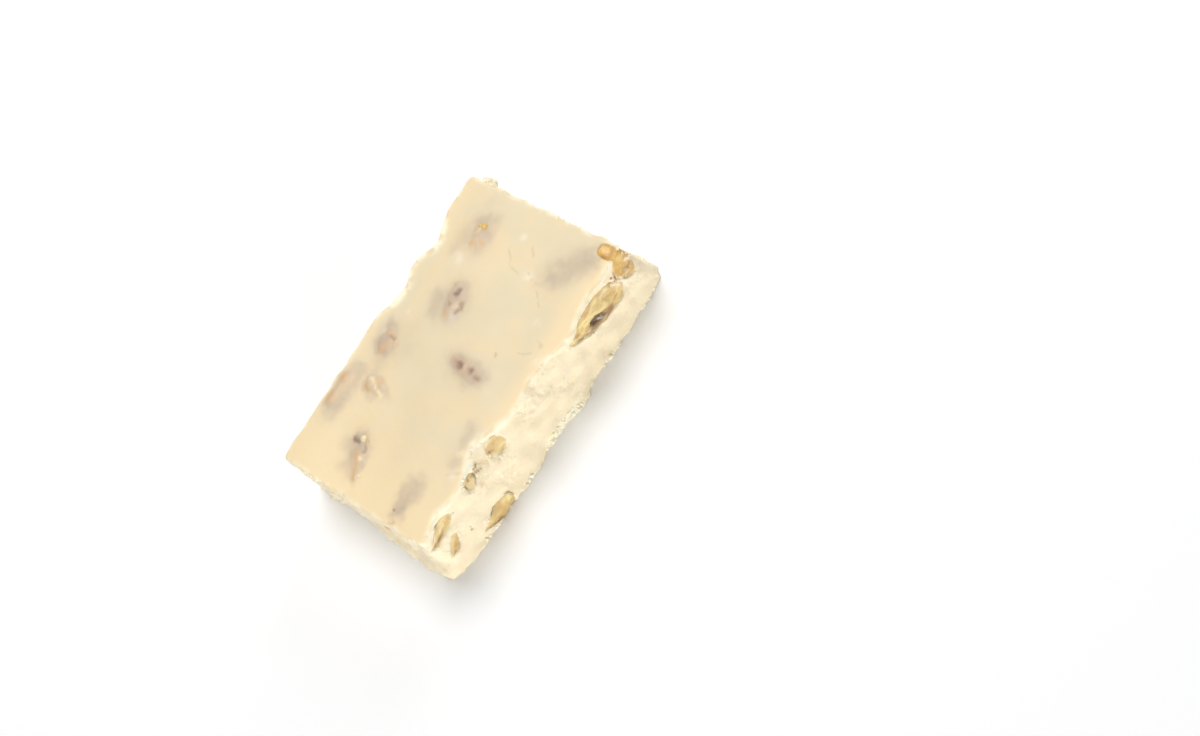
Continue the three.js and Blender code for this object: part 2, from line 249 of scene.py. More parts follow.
# Patterns of noise: plain or rough, size across, and seed, to which a nut's own seed is added
PATTERNS = {
    "torn": ("plain", 9.0, 11), "pit": ("rough", 1.7, 21), "drag": ("plain", 0.9, 31),
    "foot": ("rough", 2.2, 41), "lump": ("plain", 4.5, 51), "grain": ("rough", 1.3, 61),
    "roll": ("plain", 12.0, 71), "dimple": ("rough", 3.4, 81), "halo": ("rough", 4.0, 91),
    "halo core": ("plain", 2.6, 95), "crack": ("plain", 1.6, 96), "bloom": ("plain", 1.3, 97),
    "crack wander": ("plain", 2.2, 98), "nut border": ("plain", 1.3, 101), "frost": ("rough", 2.4, 111),
    "spot wander": ("rough", 2.0, 121), "mark wander": ("plain", 0.9, 123),
    "halo wander": ("rough", 4.0, 141),
    "fold": ("plain", 3.4, 200), "wrinkle": ("plain", 0.9, 230), "hollow": ("rough", 2.0, 260),
    "chip": ("rough", 2.6, 270), "long fold": ("plain", 3.0, 290), "pale": ("plain", 3.4, 300),
    "crumple": ("rough", 1.2, 305), "hollow bits and glints": ("plain", 1.1, 306), "smear": ("rough", 2.2, 310),
    "rind": ("plain", 2.6, 315), "lower": ("plain", 2.4, 325), "tone": ("plain", 3.2, 330),
    "grains": ("plain", 3.0, 340), "film": ("rough", 2.6, 350), "foot crumb": ("plain", 6.0, 401),
    "nut crumb": ("plain", 2.0, 405), "foot frost": ("rough", 3.0, 407),
}
# Values of the noise at which patches of some patterns begin and are full
PATCH_RUNS = {
    "torn": (-0.05, 0.5), "pit": (0.12, 0.55), "halo core": (-0.35, 0.35), "crack": (-0.7, 0.1),
    "bloom": (-1.0, 0.5), "frost": (-0.6, 0.4), "pale": (-0.5, 0.3), "hollow bits and glints": (0.1, 0.4),
    "tone": (-0.6, 0.4), "grains": (-0.2, 0.3), "film": (0.1, 0.6),
}
# How far marks wander from their places, and the step from the seed along to the seed across
WANDERS = {
    "halo wander": (1.6, 10), "spot wander": (0.8, 10), "crack wander": (0.5, 1), "mark wander": (0.3, 1),
}
# Layers of rough noise: how much finer each one is and its strength, and what their sum is divided by
ROUGH_LAYERS = [(1.0, 1.0), (2.1, 0.5), (4.3, 0.25)]
ROUGH_SUM = 1.4
# Steps that mix a whole-number place and a seed into a number
HASH_STEPS = (73856093, 19349663, 83492791)
HASH_SEED_STEP = 40503
HASH_ROUNDS = [(13, 1274126177), (15, 668265263)]
HASH_TOP = 0x7FFFFFFF

# Relief of the cut sides: depths, and how much of them is left where a side isn't torn
CUT_RUN = (0.2, 1.7)  # how far below the top edge the satin gives way to the cut
CALM_RUN = (0.4, 3.6)  # how far below an unbroken top edge the relief grows
LUMP_DEEP = 0.2
GRAIN = {"deep": 0.13, "least": 0.5}
PIT = {"deep": 0.24, "least": 0.15, "torn": 0.85}
# Painted shade in the pits of the cut sides: depths of relief over which it grows
PIT_SHADE = (0.05, 0.45)  # depths of relief at which the colour deepens
DRAG = {"deep": 0.05, "stretch": 14.0}  # drags of the knife along the sides
# Ragged lumps at the foot: how far they stand out and go in, their height and their gap to nuts
FOOT_RAG = {"deep": 0.8, "least": -0.3, "rise": 2.2, "clear": 2.5}

# Relief of the top
ROLL_DEEP = 0.14
DIMPLE_DEEP = 0.035

# How the fudge meets a cut nut: how far it dips under it, how rough and how wide the border is, how torn the
# fudge is there, and how far the dip's own border is shifted and over what run it falls
NUT_BED = 1.6
NUT_BORDER = {"rough": 0.34, "wide": 1.3, "torn": 0.8, "shift": 0.8, "run": (0.0, 0.9)}
NUT_UNDER = 0.1  # how far a cut nut stays below the top, and above the table
SLICED = (0.0, 0.15)  # how far a nut's point was moved where its face counts as cut

# A nut on top is pressed flat under a low swell of fudge: what is left of its height, how far down it lies,
# how high the swell is, over what run of the crest it grows and how far round the nut it is looked for
TOP_NUT = {"press": 0.3, "below": 0.6, "swell": 0.2, "crest": (-1.2, 0.6), "near": 3.0}
TOP_NUT_SKIN = (-0.55, 0.3)  # depths of its folds, as shares, between which its skin thins out
TOP_NUT_FILM = 0.6  # how much fudge films it over
CREST_HEIGHTS = np.linspace(-1.5, 1.2, 55)  # heights over the top at which a nut's crest is looked for

# Halo of a nut on top: distances at which it begins and is full, the same for its core, their strengths,
# and the mean strength of its patches and how much that changes
HALO = {"run": (-5.5, 0.3), "core_run": (-2.0, 1.4), "near": 0.5, "core": 0.5, "mean": 0.8, "change": 0.35}

# Smudges where nuts lie just under the top: X, Y, half length, half width, turn in degrees, strength
SMUDGES = [
    (-40.5, -16.0, 7.5, 3.4, 0, 0.60),
    (38.0, -19.5, 10.5, 5.4, -42, 0.62),
    (-20.0, -22.6, 7.5, 2.6, 5, 0.42),
    (11.0, 13.6, 5.5, 3.6, 0, 0.45),
    (-24.0, 24.0, 11.0, 3.4, 0, 0.50),
    (40.6, 12.6, 3.2, 2.6, 0, 0.40),
    (34.0, 18.2, 9.0, 4.2, 0, 0.34),
    (-10.5, 20.4, 6.5, 3.4, 20, 0.34),
    (-38.5, 10.6, 6.0, 3.2, 30, 0.40),
    (1.0, 14.0, 12.0, 5.0, 0, 0.16),
    (44.0, 17.0, 6.0, 4.5, 0, 0.24),
]
SMUDGE_FADE = 2.2  # how sharply a smudge ends
SMUDGE_RUN = (-1.2, 0.6)  # distances below the top edge over which smudges fade out

# Walnut seen through the thin skin of fudge on top, by kind: X, Y, half length, half width, turn in degrees
SPOTS = {
    "veil": [
        (34.6, 13.8, 5.0, 3.2, 20), (14.0, 8.0, 5.4, 3.6, 25), (13.8, 7.8, 3.8, 2.8, 25),
        (-5.4, 21.4, 4.8, 3.0, 10), (-5.8, 23.0, 2.0, 1.0, 10), (-24.4, 26.4, 6.4, 2.4, 0),
        (-1.3, -8.8, 6.8, 2.9, 84), (-34.4, 9.2, 3.4, 2.4, 70),
    ],
    "pink": [
        (32.6, 13.4, 2.6, 2.4, 60), (38.0, 11.0, 1.8, 1.4, 0), (35.8, 15.6, 1.4, 1.0, 10),
        (13.2, 7.2, 1.6, 1.2, 0), (-3.7, 18.9, 1.5, 0.9, 0), (-21.4, 15.4, 1.8, 1.3, 60),
        (-24.2, 26.0, 5.0, 1.8, 0), (-19.6, 24.3, 1.8, 1.4, 0), (-1.0, -7.8, 1.6, 1.3, 84),
        (-42.4, 6.2, 2.8, 1.8, 30),
    ],
    "pale": [(12.9, 6.2, 0.8, 0.6, 30), (10.3, 5.7, 2.1, 1.5, 0), (-3.3, 24.2, 1.3, 1.0, 0)],
    "tan": [
        (31.7, 15.3, 1.2, 1.0, 30), (33.2, 11.8, 1.3, 1.0, 60), (9.8, 8.7, 1.0, 0.9, 0),
        (-2.5, 21.8, 1.2, 0.9, 80), (-5.1, 19.4, 1.3, 0.8, -10), (-8.4, 21.3, 1.5, 1.0, 20),
        (-7.0, 20.6, 1.3, 0.8, 30), (-17.0, 15.6, 2.2, 1.1, 62), (-19.7, 18.2, 2.0, 1.1, 62),
        (-20.9, 26.9, 1.6, 1.2, 0), (-27.7, 27.4, 1.8, 1.2, 0), (-0.1, -4.0, 0.9, 0.7, 80),
        (-32.9, 6.9, 1.0, 0.8, 0), (-38.0, 7.0, 1.8, 0.9, 30), (-40.6, 5.5, 2.6, 1.0, 32),
        (-43.4, 3.9, 1.6, 0.9, 30), (-49.0, -16.4, 1.0, 1.0, 0), (6.4, -14.2, 0.7, 0.5, 0),
    ],
    "brown": [
        (12.9, 9.5, 0.9, 0.6, 0), (13.9, 5.0, 1.9, 0.8, 35), (12.0, 5.4, 1.0, 0.6, -40),
        (-3.4, 20.2, 1.1, 0.6, 80), (-0.8, -5.6, 2.4, 1.5, 80), (-1.2, -10.0, 1.6, 1.2, 0),
        (-2.0, -13.0, 1.3, 0.9, 90), (-35.1, 6.4, 1.5, 0.6, 10),
    ],
    "deep": [
        (17.0, 8.9, 1.4, 0.6, -27), (-1.0, -10.2, 0.8, 0.6, 0), (-0.9, -5.8, 1.3, 0.8, 80),
        (-34.4, 11.2, 1.1, 0.8, 30), (-34.1, 10.3, 1.1, 0.8, 80), (-34.3, 9.3, 0.9, 0.5, 95),
        (-45.4, -14.4, 0.6, 0.5, 30),
    ],
    "cream": [
        (-17.3, 17.8, 1.5, 1.0, 60), (-18.4, 15.6, 1.3, 0.7, 64), (-19.8, 13.0, 2.0, 1.0, 66),
        (-38.5, 5.8, 0.9, 0.6, 30), (-42.7, 2.9, 0.8, 0.7, 0), (-22.6, -24.0, 2.1, 1.2, 80),
    ],
}

# A painted highlight along the rim, which turns into pale crumbled fudge where the rim is bitten: its least
# strength, the bite that shows it in full, its width and how much wider it is where bitten, and how far below
# the top edge it lies and how much further where bitten
RIM_FROST_AND_HIGHLIGHT = {"least": 0.75, "bite": 1.5, "wide": 0.8, "wider": 0.9, "front": (0.8, 0.5), "back": (0.6, -0.9)}

# Pale crumbled fudge along the front's foot: from which X to which, how long its ends are, how high it
# reaches, how soft and how uneven its upper border is, how pale it is, and the count and radii of its
# crumbs, from what height and strength on they cling
FOOT_FROST = {
    "from": -8.0, "to": 10.0, "end": 2.0, "high": 3.2, "soft": 1.0, "uneven": 1.2, "pale": 0.8, "count": 70,
    "radius": (0.25, 0.7), "low": 0.3, "least": 0.5,
}

# Painted warm glow of light seeping in along the edges of the top: its strength at each side and how far in
# it reaches
EDGE_GLOW = {"near": 1.0, "far": 0.15, "front": 1.0, "back": 0.6}
GLOW_REACH = {"near": 36.0, "far": 9.0, "front": 9.0, "back": 7.0}

# Pale bloom spots on the top: X, Y and radius; how sharply they end, their strength and their rise
BLOOMS = [
    (30.4, -9.0, 1.7), (40.1, 0.4, 1.2), (19.8, -20.8, 1.3), (10.4, -27.4, 1.5),
    (26.0, 16.0, 2.2), (5.0, 19.8, 1.2), (-16.0, -26.4, 2.0), (-28.6, -25.0, 1.5),
]
BLOOM = {"fade": 1.2, "most": 0.5, "rise": 0.05}

# Cracks in the top as lines from point to point; how wide, deep and dark they are
CRACKS = [
    ((35.6, 2.6), (31.0, -1.0)), ((31.0, -1.0), (29.4, -5.2)), ((38.6, -4.4), (35.4, -6.6)),
    ((31.4, -8.4), (29.8, -10.4)), ((27.4, -14.2), (24.2, -18.0)), ((9.8, -20.8), (11.2, -24.2)),
    ((15.0, -23.8), (14.4, -26.4)), ((-29.4, -23.0), (-26.4, -27.2)),
]
CRACK = {"wide": 0.34, "deep": 0.08, "dark": 0.38}

# Folds of a whole kernel: the noise at which a valley ends and the level of the lobes, and its fine wrinkles
FOLD = {"valley": 0.4, "level": 0.65}
WRINKLE_DEEP = 0.06

# Long folds in the cut faces of nuts: how close they run, how far they wander and how deep they are
LONG_FOLD = {"close": 4.6, "wander": 1.4, "deep": 0.16}
CHIP_RANGE = (-0.15, 0.7)  # how far broken places stand out, and how deep they go

# Brown skin along a cut nut's border: the noise at which it breaks off and is whole, and how far in it ends.
# Along its tail's lower side: where across and along the nut it lies, and how far in it ends
RIND = {"from": 0.2, "whole": 0.5, "border": (0.3, 0.9)}
TAIL_RIND = {"across": (0.15, 0.6), "along": (0.0, 0.5), "border": (0.4, 1.0)}
# How much skin shows in and below the hollow, in the line round the knob, which also paints the shade of its
# crevice, and in brown marks
SKIN_SHOWS = {"hollow": 0.9, "below": 0.8, "line": 0.9, "mark": 0.9}

# Painted shade in the valleys of the long folds and in chips, deeper flesh on a cut nut's lower half and in
# marks: runs, strengths and how uneven the lower half's border is; and the run of the painted highlight of
# paler flesh on the ridges
SHADE = {
    "valley_run": (0.2, 1.0), "valley": 0.5, "chip_run": (0.1, 0.5), "lower_run": (-0.4, 0.8), "lower": 0.5,
    "uneven": 0.5, "mark": 0.8,
}
RIDGE_RUN = (0.2, 0.9)

# Fudge smeared over the borders of cut nuts: how far in it reaches, the weights of its patches and of the
# border, over what run it shows, and how much and how far in a thin veil of it pales the very border
SMEAR = {
    "border": (0.1, 1.6), "patches": 1.3, "near": 0.7, "run": (0.95, 1.45), "veil": 0.45,
    "veil_border": (0.2, 0.9),
}
# How much skin keeps smears and the veil off, and how much the pale bits in the hollow, which also serve as
# painted glints, and marks of fudge and of veil hide
FILM = {"smear_off": 0.9, "veil_off": 0.6, "crumb": 0.55, "fudge": 0.85, "veil": 0.45}

# Crumbs: how many of each kind, and their least and greatest radius
CRUMB_SEED = 7
CRUMBS = {
    "foot": (230, 0.25, 0.9), "rim": (180, 0.16, 0.5), "face": (150, 0.14, 0.36), "nut": (170, 0.14, 0.42),
}
# Where they cling: heights at the foot, distances below the top edge at the rim, how torn the fudge is there
# and on the faces, how far below the top edge those by nuts begin, and how far out of a nut or in it
CRUMB_ZONE = {
    "foot": (0.05, 1.5), "rim": (0.4, 2.6), "rim_torn": 0.2, "face_torn": 0.3, "nut_below": 1.0,
    "out_of_nut": 0.9, "in_nut": 0.1, "in_knob_nut": 2.0,
}
CLING = {"small": 2.5, "sunk": (0.1, 0.6)}  # how much small ones prevail, and how far they sink in
FOOT_CRUMB = {"drop": 0.6, "rest": 0.9}  # how far one by the foot drops, and the least height of its middle
# Form of a crumb: its broken sides and how far out they lie, the least share at which a side faces a place, a
# distance past any side, its greatest radius, its roughness and that noise's size and step, and its stretch
CRUMB = {
    "sides": 9, "side_at": (0.65, 1.0), "facing": 0.1, "far": 9, "most": 1.2, "rough": 0.12, "size": 0.5,
    "step": 7.3, "stretch": (0.75, 1.25),
}
# A tuft of crumbs at the far end's top edge: its middle, spread, greatest spread, count and radii
TUFT = {
    "at": (50.3, 22.0, 21.9), "spread": (0.5, 1.6, 0.4), "reach": 1.5, "count": 34, "radius": (0.3, 0.8),
}

# Bits of walnut that stick out of the fudge: kind, face, place on it and radius
SPECKS = [
    ("amber", "top", 37.5, 14.2, 1.5), ("amber", "top", 37.4, 15.8, 0.95), ("cream", "top", -32.9, 8.5, 1.0),
    ("tan", "top", -32.9, 6.9, 0.6), ("cream", "top", -42.7, 2.8, 0.55),
    ("tan", "front", -38.2, 8.8, 0.4),
    ("brown", "front", 42.2, 17.6, 0.5), ("brown", "front", 41.4, 18.6, 0.4),
    ("tan", "front", 41.8, 16.6, 0.5), ("brown", "front", 40.2, 17.6, 0.45),
    ("cream", "front", 40.7, 16.6, 0.5),
    ("brown", "front", -23.1, 19.7, 0.45), ("brown", "front", -24.1, 19.9, 0.4),
    ("tan", "front", -24.7, 18.8, 0.4), ("brown", "front", -23.7, 18.1, 0.3),
    ("brown", "front", -22.9, 17.8, 0.25), ("cream", "front", -23.6, 20.3, 0.35),
    ("tan", "front", -23.5, 19.2, 0.35), ("cream", "front", -18.4, 17.6, 0.5),
    ("cream", "front", -18.0, 14.8, 0.45), ("cream", "front", -20.4, 17.0, 0.4),
    ("cream", "front", 48.9, 20.6, 0.4), ("cream", "front", 49.7, 19.2, 0.5),
    ("cream", "front", 49.9, 17.6, 0.5), ("cream", "front", 45.9, 14.8, 0.4),
    ("tan", "front", 45.0, 14.1, 0.45),
]
SPECK_FLAT = 0.6  # how tall a bit of walnut is for its width
SPECK_SUNK = 0.3  # how deep its middle lies, as a share of its radius
SPECK_REACH = 0.5  # how far round its place the surface under it is looked for
SPECK_LOOKS = {
    "amber": {"skin": 0.0, "tone": 0.0, "film": 0.0, "amber": 0.5, "gloss": 1.0},
    "brown": {"skin": 0.85, "tone": 0.1, "film": 0.15, "amber": 0.0, "gloss": 0.3},
    "tan": {"skin": 0.5, "tone": 0.0, "film": 0.3, "amber": 0.0, "gloss": 0.3},
    "cream": {"skin": 0.0, "tone": 0.0, "film": 0.75, "amber": 0.2, "gloss": 0.5},
}


def srgb(red, green, blue):
    """A screen colour from 0 to 255 as a linear colour."""
    shares = np.array([red, green, blue]) / 255
    linear = np.where(shares <= 0.04045, shares / 12.92, ((shares + 0.055) / 1.055) ** 2.4)
    return (*linear.tolist(), 1.0)


# Colours of the fudge
TOP_COLOUR = srgb(228, 212, 177)
TOP_COLOUR_WARM = srgb(231, 211, 170)
TOP_COLOUR_GREY = srgb(222, 208, 174)
# Painted glow of light seeping in near the edges of the top
EDGE_GLOW_COLOUR = srgb(240, 218, 175)
CUT_COLOUR = srgb(243, 229, 195)
CUT_COLOUR_PINK = srgb(241, 225, 194)
# Painted shade in the pits of the cut sides
CUT_PAINTED_SHADE_COLOUR = srgb(228, 206, 166)
# Pale crumbled fudge, also the colour of the painted highlight along the rim
RIM_COLOUR = srgb(254, 246, 219)
BLOOM_COLOUR = srgb(245, 236, 216)
CRACK_COLOUR = srgb(196, 174, 142)
# Smudges, pale and then dark: the strengths at which each colour begins and is full
SMUDGE_COLOURS = [((0.0, 0.55), srgb(203, 184, 156)), ((0.45, 1.0), srgb(166, 137, 112))]
# Spots of walnut on the top: how sharply each kind ends, how far it rises and its colour
SPOT_LOOKS = {
    "veil": {"fade": 1.3, "rise": 0.0, "colour": srgb(194, 174, 150)},
    "pink": {"fade": 1.8, "rise": 0.04, "colour": srgb(219, 195, 161)},
    "pale": {"fade": 1.6, "rise": 0.05, "colour": srgb(216, 201, 180)},
    "tan": {"fade": 2.0, "rise": 0.06, "colour": srgb(212, 177, 133)},
    "brown": {"fade": 2.0, "rise": -0.08, "colour": srgb(176, 146, 119)},
    "deep": {"fade": 1.9, "rise": -0.12, "colour": srgb(146, 117, 98)},
    "cream": {"fade": 1.6, "rise": 0.08, "colour": srgb(238, 219, 181)},
}

# Colours of the walnut
FLESH = srgb(218, 188, 126)
FLESH_PALE = srgb(236, 215, 154)
# Deeper flesh, also the colour of painted shade in fold valleys and chips
FLESH_DEEP_AND_SHADE_COLOUR = srgb(200, 164, 106)
AMBER = srgb(224, 176, 88)
GRAIN_COLOUR = srgb(242, 224, 166)
SKIN = srgb(176, 132, 82)
SKIN_DARK = srgb(112, 84, 66)
# Brown skin of the hollow, painted darker with shade at its deepest
HOLLOW_SKIN_AND_SHADE_COLOUR = srgb(94, 74, 64)
FILM_COLOUR = srgb(242, 227, 193)

# How colours spread: size of the noise and its detail, the noise at which a colour begins and is full, and
# its strength there
TOP_PATCHES = (9.0, 3.0, 0.35, 0.65, 1.0)
TOP_CLOUDS = (24.0, 3.0, 0.4, 0.6, 0.8)
CUT_MOTTLE = (3.2, 4.0, 0.3, 0.7, 1.0)
CRUMB_TONE = (1.6, 3.0, 0.35, 0.65, 1.0)
FLESH_TONE = (1.4, 4.0, 0.35, 0.65, 1.0)
FLESH_PALES = 0.6  # how far the flesh pales in its patches
# Strength of the painted shade in the pits
PIT_PAINTED_SHADE = 0.6  # how far the colour deepens in pits

# Flecks: how far apart they are, and the distances from their middles at which they thin out and end
FUDGE_FLECK = (1.1, 0.12, 0.3)
FLESH_FLECK = (0.8, 0.15, 0.4)

# Fine bumps: size of the noise, its detail and the height; and how much of the fudge's is left on the top
FUDGE_BUMP = (0.55, 5.0, 0.16)
FUDGE_BUMP_TOP = 0.12
CRUMB_BUMP = (0.35, 3.0, 0.1)
WALNUT_BUMP = (0.6, 5.0, 0.14)

# Roughness: how much a cut adds to the fudge's and gloss to the walnut's, and the roughness without them
FUDGE_ROUGHNESS = (0.26, 0.44)
WALNUT_ROUGHNESS = (-0.27, 0.52)
FUDGE_SHEEN = {
    "Specular IOR Level": 0.42, "Subsurface Weight": 0.35, "Subsurface Radius": (1.0, 0.72, 0.42),
    "Subsurface Scale": 1.6 * MM,
}
WALNUT_SHEEN = {
    "Subsurface Weight": 0.15, "Subsurface Radius": (1.0, 0.6, 0.3), "Subsurface Scale": 0.8 * MM,
}
CRUMB_SHEEN = {"Roughness": 0.72}
FLOOR_SHEEN = {"Base Color": srgb(252, 253, 255), "Roughness": 0.6, "Specular IOR Level": 0.2}

# The table, half its width and its level in metres, and the light of the room
FLOOR_HALF = 4.0
FLOOR_LEVEL = -0.00005
ROOM_COLOUR = (0.97, 0.985, 1.0, 1.0)
ROOM_STRENGTH = 0.3

# Soft round lights that face the slab: place and width in metres, power and colour
LIGHTS = {
    "key": ((0.3, 0.5, 1.15), 0.9, 12.4, (1.0, 0.98, 0.95)),
    "fill": ((-0.65, -0.9, 0.12), 0.6, 11.0, (1.0, 0.99, 0.98)),
    "side": ((1.0, 0.25, 0.35), 0.6, 3.0, (1.0, 0.99, 0.97)),
}


# Numbers over space


def smoothstep(value, low, high):
    """0 below low, 1 above high and a smooth step between them."""
    share = np.clip((value - low) / (high - low), 0, 1)
    return share * share * (3 - 2 * share)


def mix(low, high, share):
    return low + (high - low) * share


def lattice(corners, seed):
    """A repeatable number from -1 to 1 for each corner of a whole-number grid."""
    mixed = np.full(len(corners), seed * HASH_SEED_STEP, dtype=np.int64)
    for axis, step in enumerate(HASH_STEPS):
        mixed = mixed ^ (corners[:, axis] * step)
    for shift, factor in HASH_ROUNDS:
        mixed = ((mixed ^ (mixed >> shift)) * factor) & HASH_TOP
    return mixed / (HASH_TOP // 2) - 1


def noise(points, size, seed):
    """Smooth noise from -1 to 1 whose blobs are about size across."""
    scaled = points / size
    cell = np.floor(scaled).astype(np.int64)
    share = scaled - cell
    share = share ** 3 * (share * (share * 6 - 15) + 10)
    total = np.zeros(len(points))
    for corner in np.ndindex(2, 2, 2):
        weight = np.prod(np.where(corner, share, 1 - share), axis=1)
        total += weight * lattice(cell + np.array(corner), seed)
    return total


def rough_noise(points, size, seed):
    """Noise with finer layers on top."""
    total = np.zeros(len(points))
    for number, (finer, strength) in enumerate(ROUGH_LAYERS):
        total += strength * noise(points, size / finer, seed + number)
    return total / ROUGH_SUM


def pattern(points, kind, shift=0):
    """Noise of a kind in the table of patterns; shift is added to its seed."""
    roughness, size, seed = PATTERNS[kind]
    return {"plain": noise, "rough": rough_noise}[roughness](points, size, seed + shift)


def patches(points, kind, shift=0):
    """Patches of a kind in the table of patterns, from 0 to 1."""
    return smoothstep(pattern(points, kind, shift), *PATCH_RUNS[kind])


def wander(points, kind):
    """How far marks wander at each point, in two directions."""
    far, step = WANDERS[kind]
    return np.stack([pattern(points, kind), pattern(points, kind, step)], axis=1) * far


def ripple(waves, a, b):
    """Uneven waves between -1 and 1 over two directions."""
    return sum(np.sin(over_a * a + over_b * b + start) for over_a, over_b, start in waves) / len(waves)


def moved(places, along):
    """How far a list of bites or lumps moves an edge at each place along it."""
    return sum(deep * np.exp(-(((along - at) / wide) ** 2)) for at, deep, wide in places)


# Shape of the slab


def flare(z):
    return np.clip(1 - z / HEIGHT, 0, 1) ** FLARE_POWER


def crumbled(z):
    return smoothstep(z, HEIGHT - BITE_DROP, HEIGHT)


def squeezed(z):
    return 1 - smoothstep(z, 0, LUMP_RISE)


def near_side(y, z):
    spread = 1 - smoothstep(y, NEAR_LIP["full"], NEAR_LIP["none"])
    low = 1 - smoothstep(z, NEAR_LIP["low"], NEAR_LIP["high"])
    return -LENGTH / 2 - FOOT["near"] * flare(z) - NEAR_LIP["spread"] * spread * low


def far_side(y, z):
    return LENGTH / 2 + FOOT["far"] * flare(z)


def front_side(x, z):
    edge = -WIDTH / 2 - FRONT_SKEW * x + moved(FRONT_BITES, x) * crumbled(z)
    return edge - FOOT["front"] * flare(z) - moved(FOOT_LUMPS, x) * squeezed(z)


def back_side(x, z):
    edge = WIDTH / 2 - moved(BACK_BITES, x) * crumbled(z)
    return edge + FOOT["back"] * flare(z) + moved(FOOT_LUMPS, -x) * squeezed(z)


def top_height(x, y):
    return HEIGHT + SWELL * ripple(SWELL_WAVES, x, y)


def corner_radius(z):
    return mix(CORNER_RADIUS["base"], CORNER_RADIUS["top"], z / HEIGHT)


def rounded_corner(u, v, radius):
    """Rounds the corners of the plan: u and v run from -1 to 1 along and across the slab."""
    x = u * LENGTH / 2
    y = v * WIDTH / 2
    inner_x = np.clip(x, radius - LENGTH / 2, LENGTH / 2 - radius)
    inner_y = np.clip(y, radius - WIDTH / 2, WIDTH / 2 - radius)
    reach = np.hypot(x - inner_x, y - inner_y)
    straight = np.maximum(np.abs(x - inner_x), np.abs(y - inner_y))
    scale = np.where(reach > 0, straight / np.maximum(reach, TINY), 1)
    return inner_x + (x - inner_x) * scale, inner_y + (y - inner_y) * scale


def slab_points(u, v, z, inset):
    """Points of the slab: u and v place them in the plan, z is their height and inset draws them in."""
    plan_x, plan_y = rounded_corner(u, v, corner_radius(z))
    x = mix(near_side(plan_y, z) + inset, far_side(plan_y, z) - inset, plan_x / LENGTH + 0.5)
    y = mix(front_side(plan_x, z) + inset, back_side(plan_x, z) - inset, plan_y / WIDTH + 0.5)
    at_end = smoothstep(np.abs(u), 1 - CRAG_FADE / (LENGTH / 2), 1)
    at_side = smoothstep(np.abs(v), 1 - CRAG_FADE / (WIDTH / 2), 1)
    x = x + np.sign(u) * at_end * CRAG * ripple(CRAG_WAVES, plan_y, z)
    y = y + np.sign(v) * at_side * CRAG * ripple(CRAG_WAVES, plan_x, z)
    return np.stack([x, y, z * top_height(x, y) / HEIGHT], axis=1)


def side_levels():
    """Height, inset and distance below the top edge of each ring down the side, after the top edge itself."""
    levels = []
    for step in range(1, RIM_STEPS + 1):
        angle = math.pi / 2 * step / RIM_STEPS
        levels.append((HEIGHT - RIM_RADIUS * (1 - math.cos(angle)), RIM_RADIUS * (1 - math.sin(angle)),
                       RIM_RADIUS * angle))
    below = levels[-1][2]
    drop = HEIGHT - RIM_RADIUS - FOOT_RADIUS
    for band in range(1, SIDE_BANDS + 1):
        share = band / SIDE_BANDS
        levels.append((HEIGHT - RIM_RADIUS - drop * share, 0.0, below + drop * share))
    for step in range(1, FOOT_STEPS + 1):
        angle = math.pi / 2 * step / FOOT_STEPS
        levels.append((FOOT_RADIUS * (1 - math.sin(angle)), FOOT_RADIUS / 2 * (1 - math.cos(angle)), HEIGHT))
    return levels


def plan_edge():
    """The plan's edge as u and v, anticlockwise from the near front corner."""
    along = np.arange(COLUMNS) * 2 / COLUMNS - 1
    across = np.arange(ROWS) * 2 / ROWS - 1
    u = np.concatenate([along, np.ones(ROWS)])
    v = np.concatenate([-np.ones(COLUMNS), across])
    return np.concatenate([u, -u]), np.concatenate([v, -v])


def top_edge_indices():
    """The top grid's border vertices in the order of plan_edge."""
    wide = COLUMNS + 1
    front = np.arange(COLUMNS)
    far = np.arange(ROWS) * wide + COLUMNS
    back = ROWS * wide + COLUMNS - np.arange(COLUMNS)
    near = (ROWS - np.arange(ROWS)) * wide
    return np.concatenate([front, far, back, near])


def slab_grid():
    """Points and faces of the bare slab, and each point's distance below the top edge, negative on top."""
    along = np.linspace(-1, 1, COLUMNS + 1)
    across = np.linspace(-1, 1, ROWS + 1)
    u, v = (part.ravel() for part in np.meshgrid(along, across))
    points = [slab_points(u, v, np.full(len(u), HEIGHT), RIM_RADIUS)]
    below = [-np.minimum((1 - np.abs(u)) * LENGTH / 2, (1 - np.abs(v)) * WIDTH / 2)]
    index = np.arange(len(u)).reshape(ROWS + 1, COLUMNS + 1)
    corners = [index[:-1, :-1], index[:-1, 1:], index[1:, 1:], index[1:, :-1]]
    faces = [np.stack(corners, axis=-1).reshape(-1, 4)]

    edge_u, edge_v = plan_edge()
    around = len(edge_u)
    upper = top_edge_indices()
    count = len(u)
    for z, inset, depth in side_levels():
        points.append(slab_points(edge_u, edge_v, np.full(around, z), inset))
        below.append(np.full(around, depth))
        lower = np.arange(count, count + around)
        faces.append(np.stack([upper, lower, np.roll(lower, -1), np.roll(upper, -1)], axis=1))
        upper = lower
        count += around
    points.append(np.zeros((1, 3)))
    below.append(np.array([HEIGHT]))
    base = np.stack([np.full(around, count), np.roll(upper, -1), upper], axis=1)
    quads = np.concatenate(faces).tolist()
    return np.concatenate(points), quads + base.tolist(), np.concatenate(below)


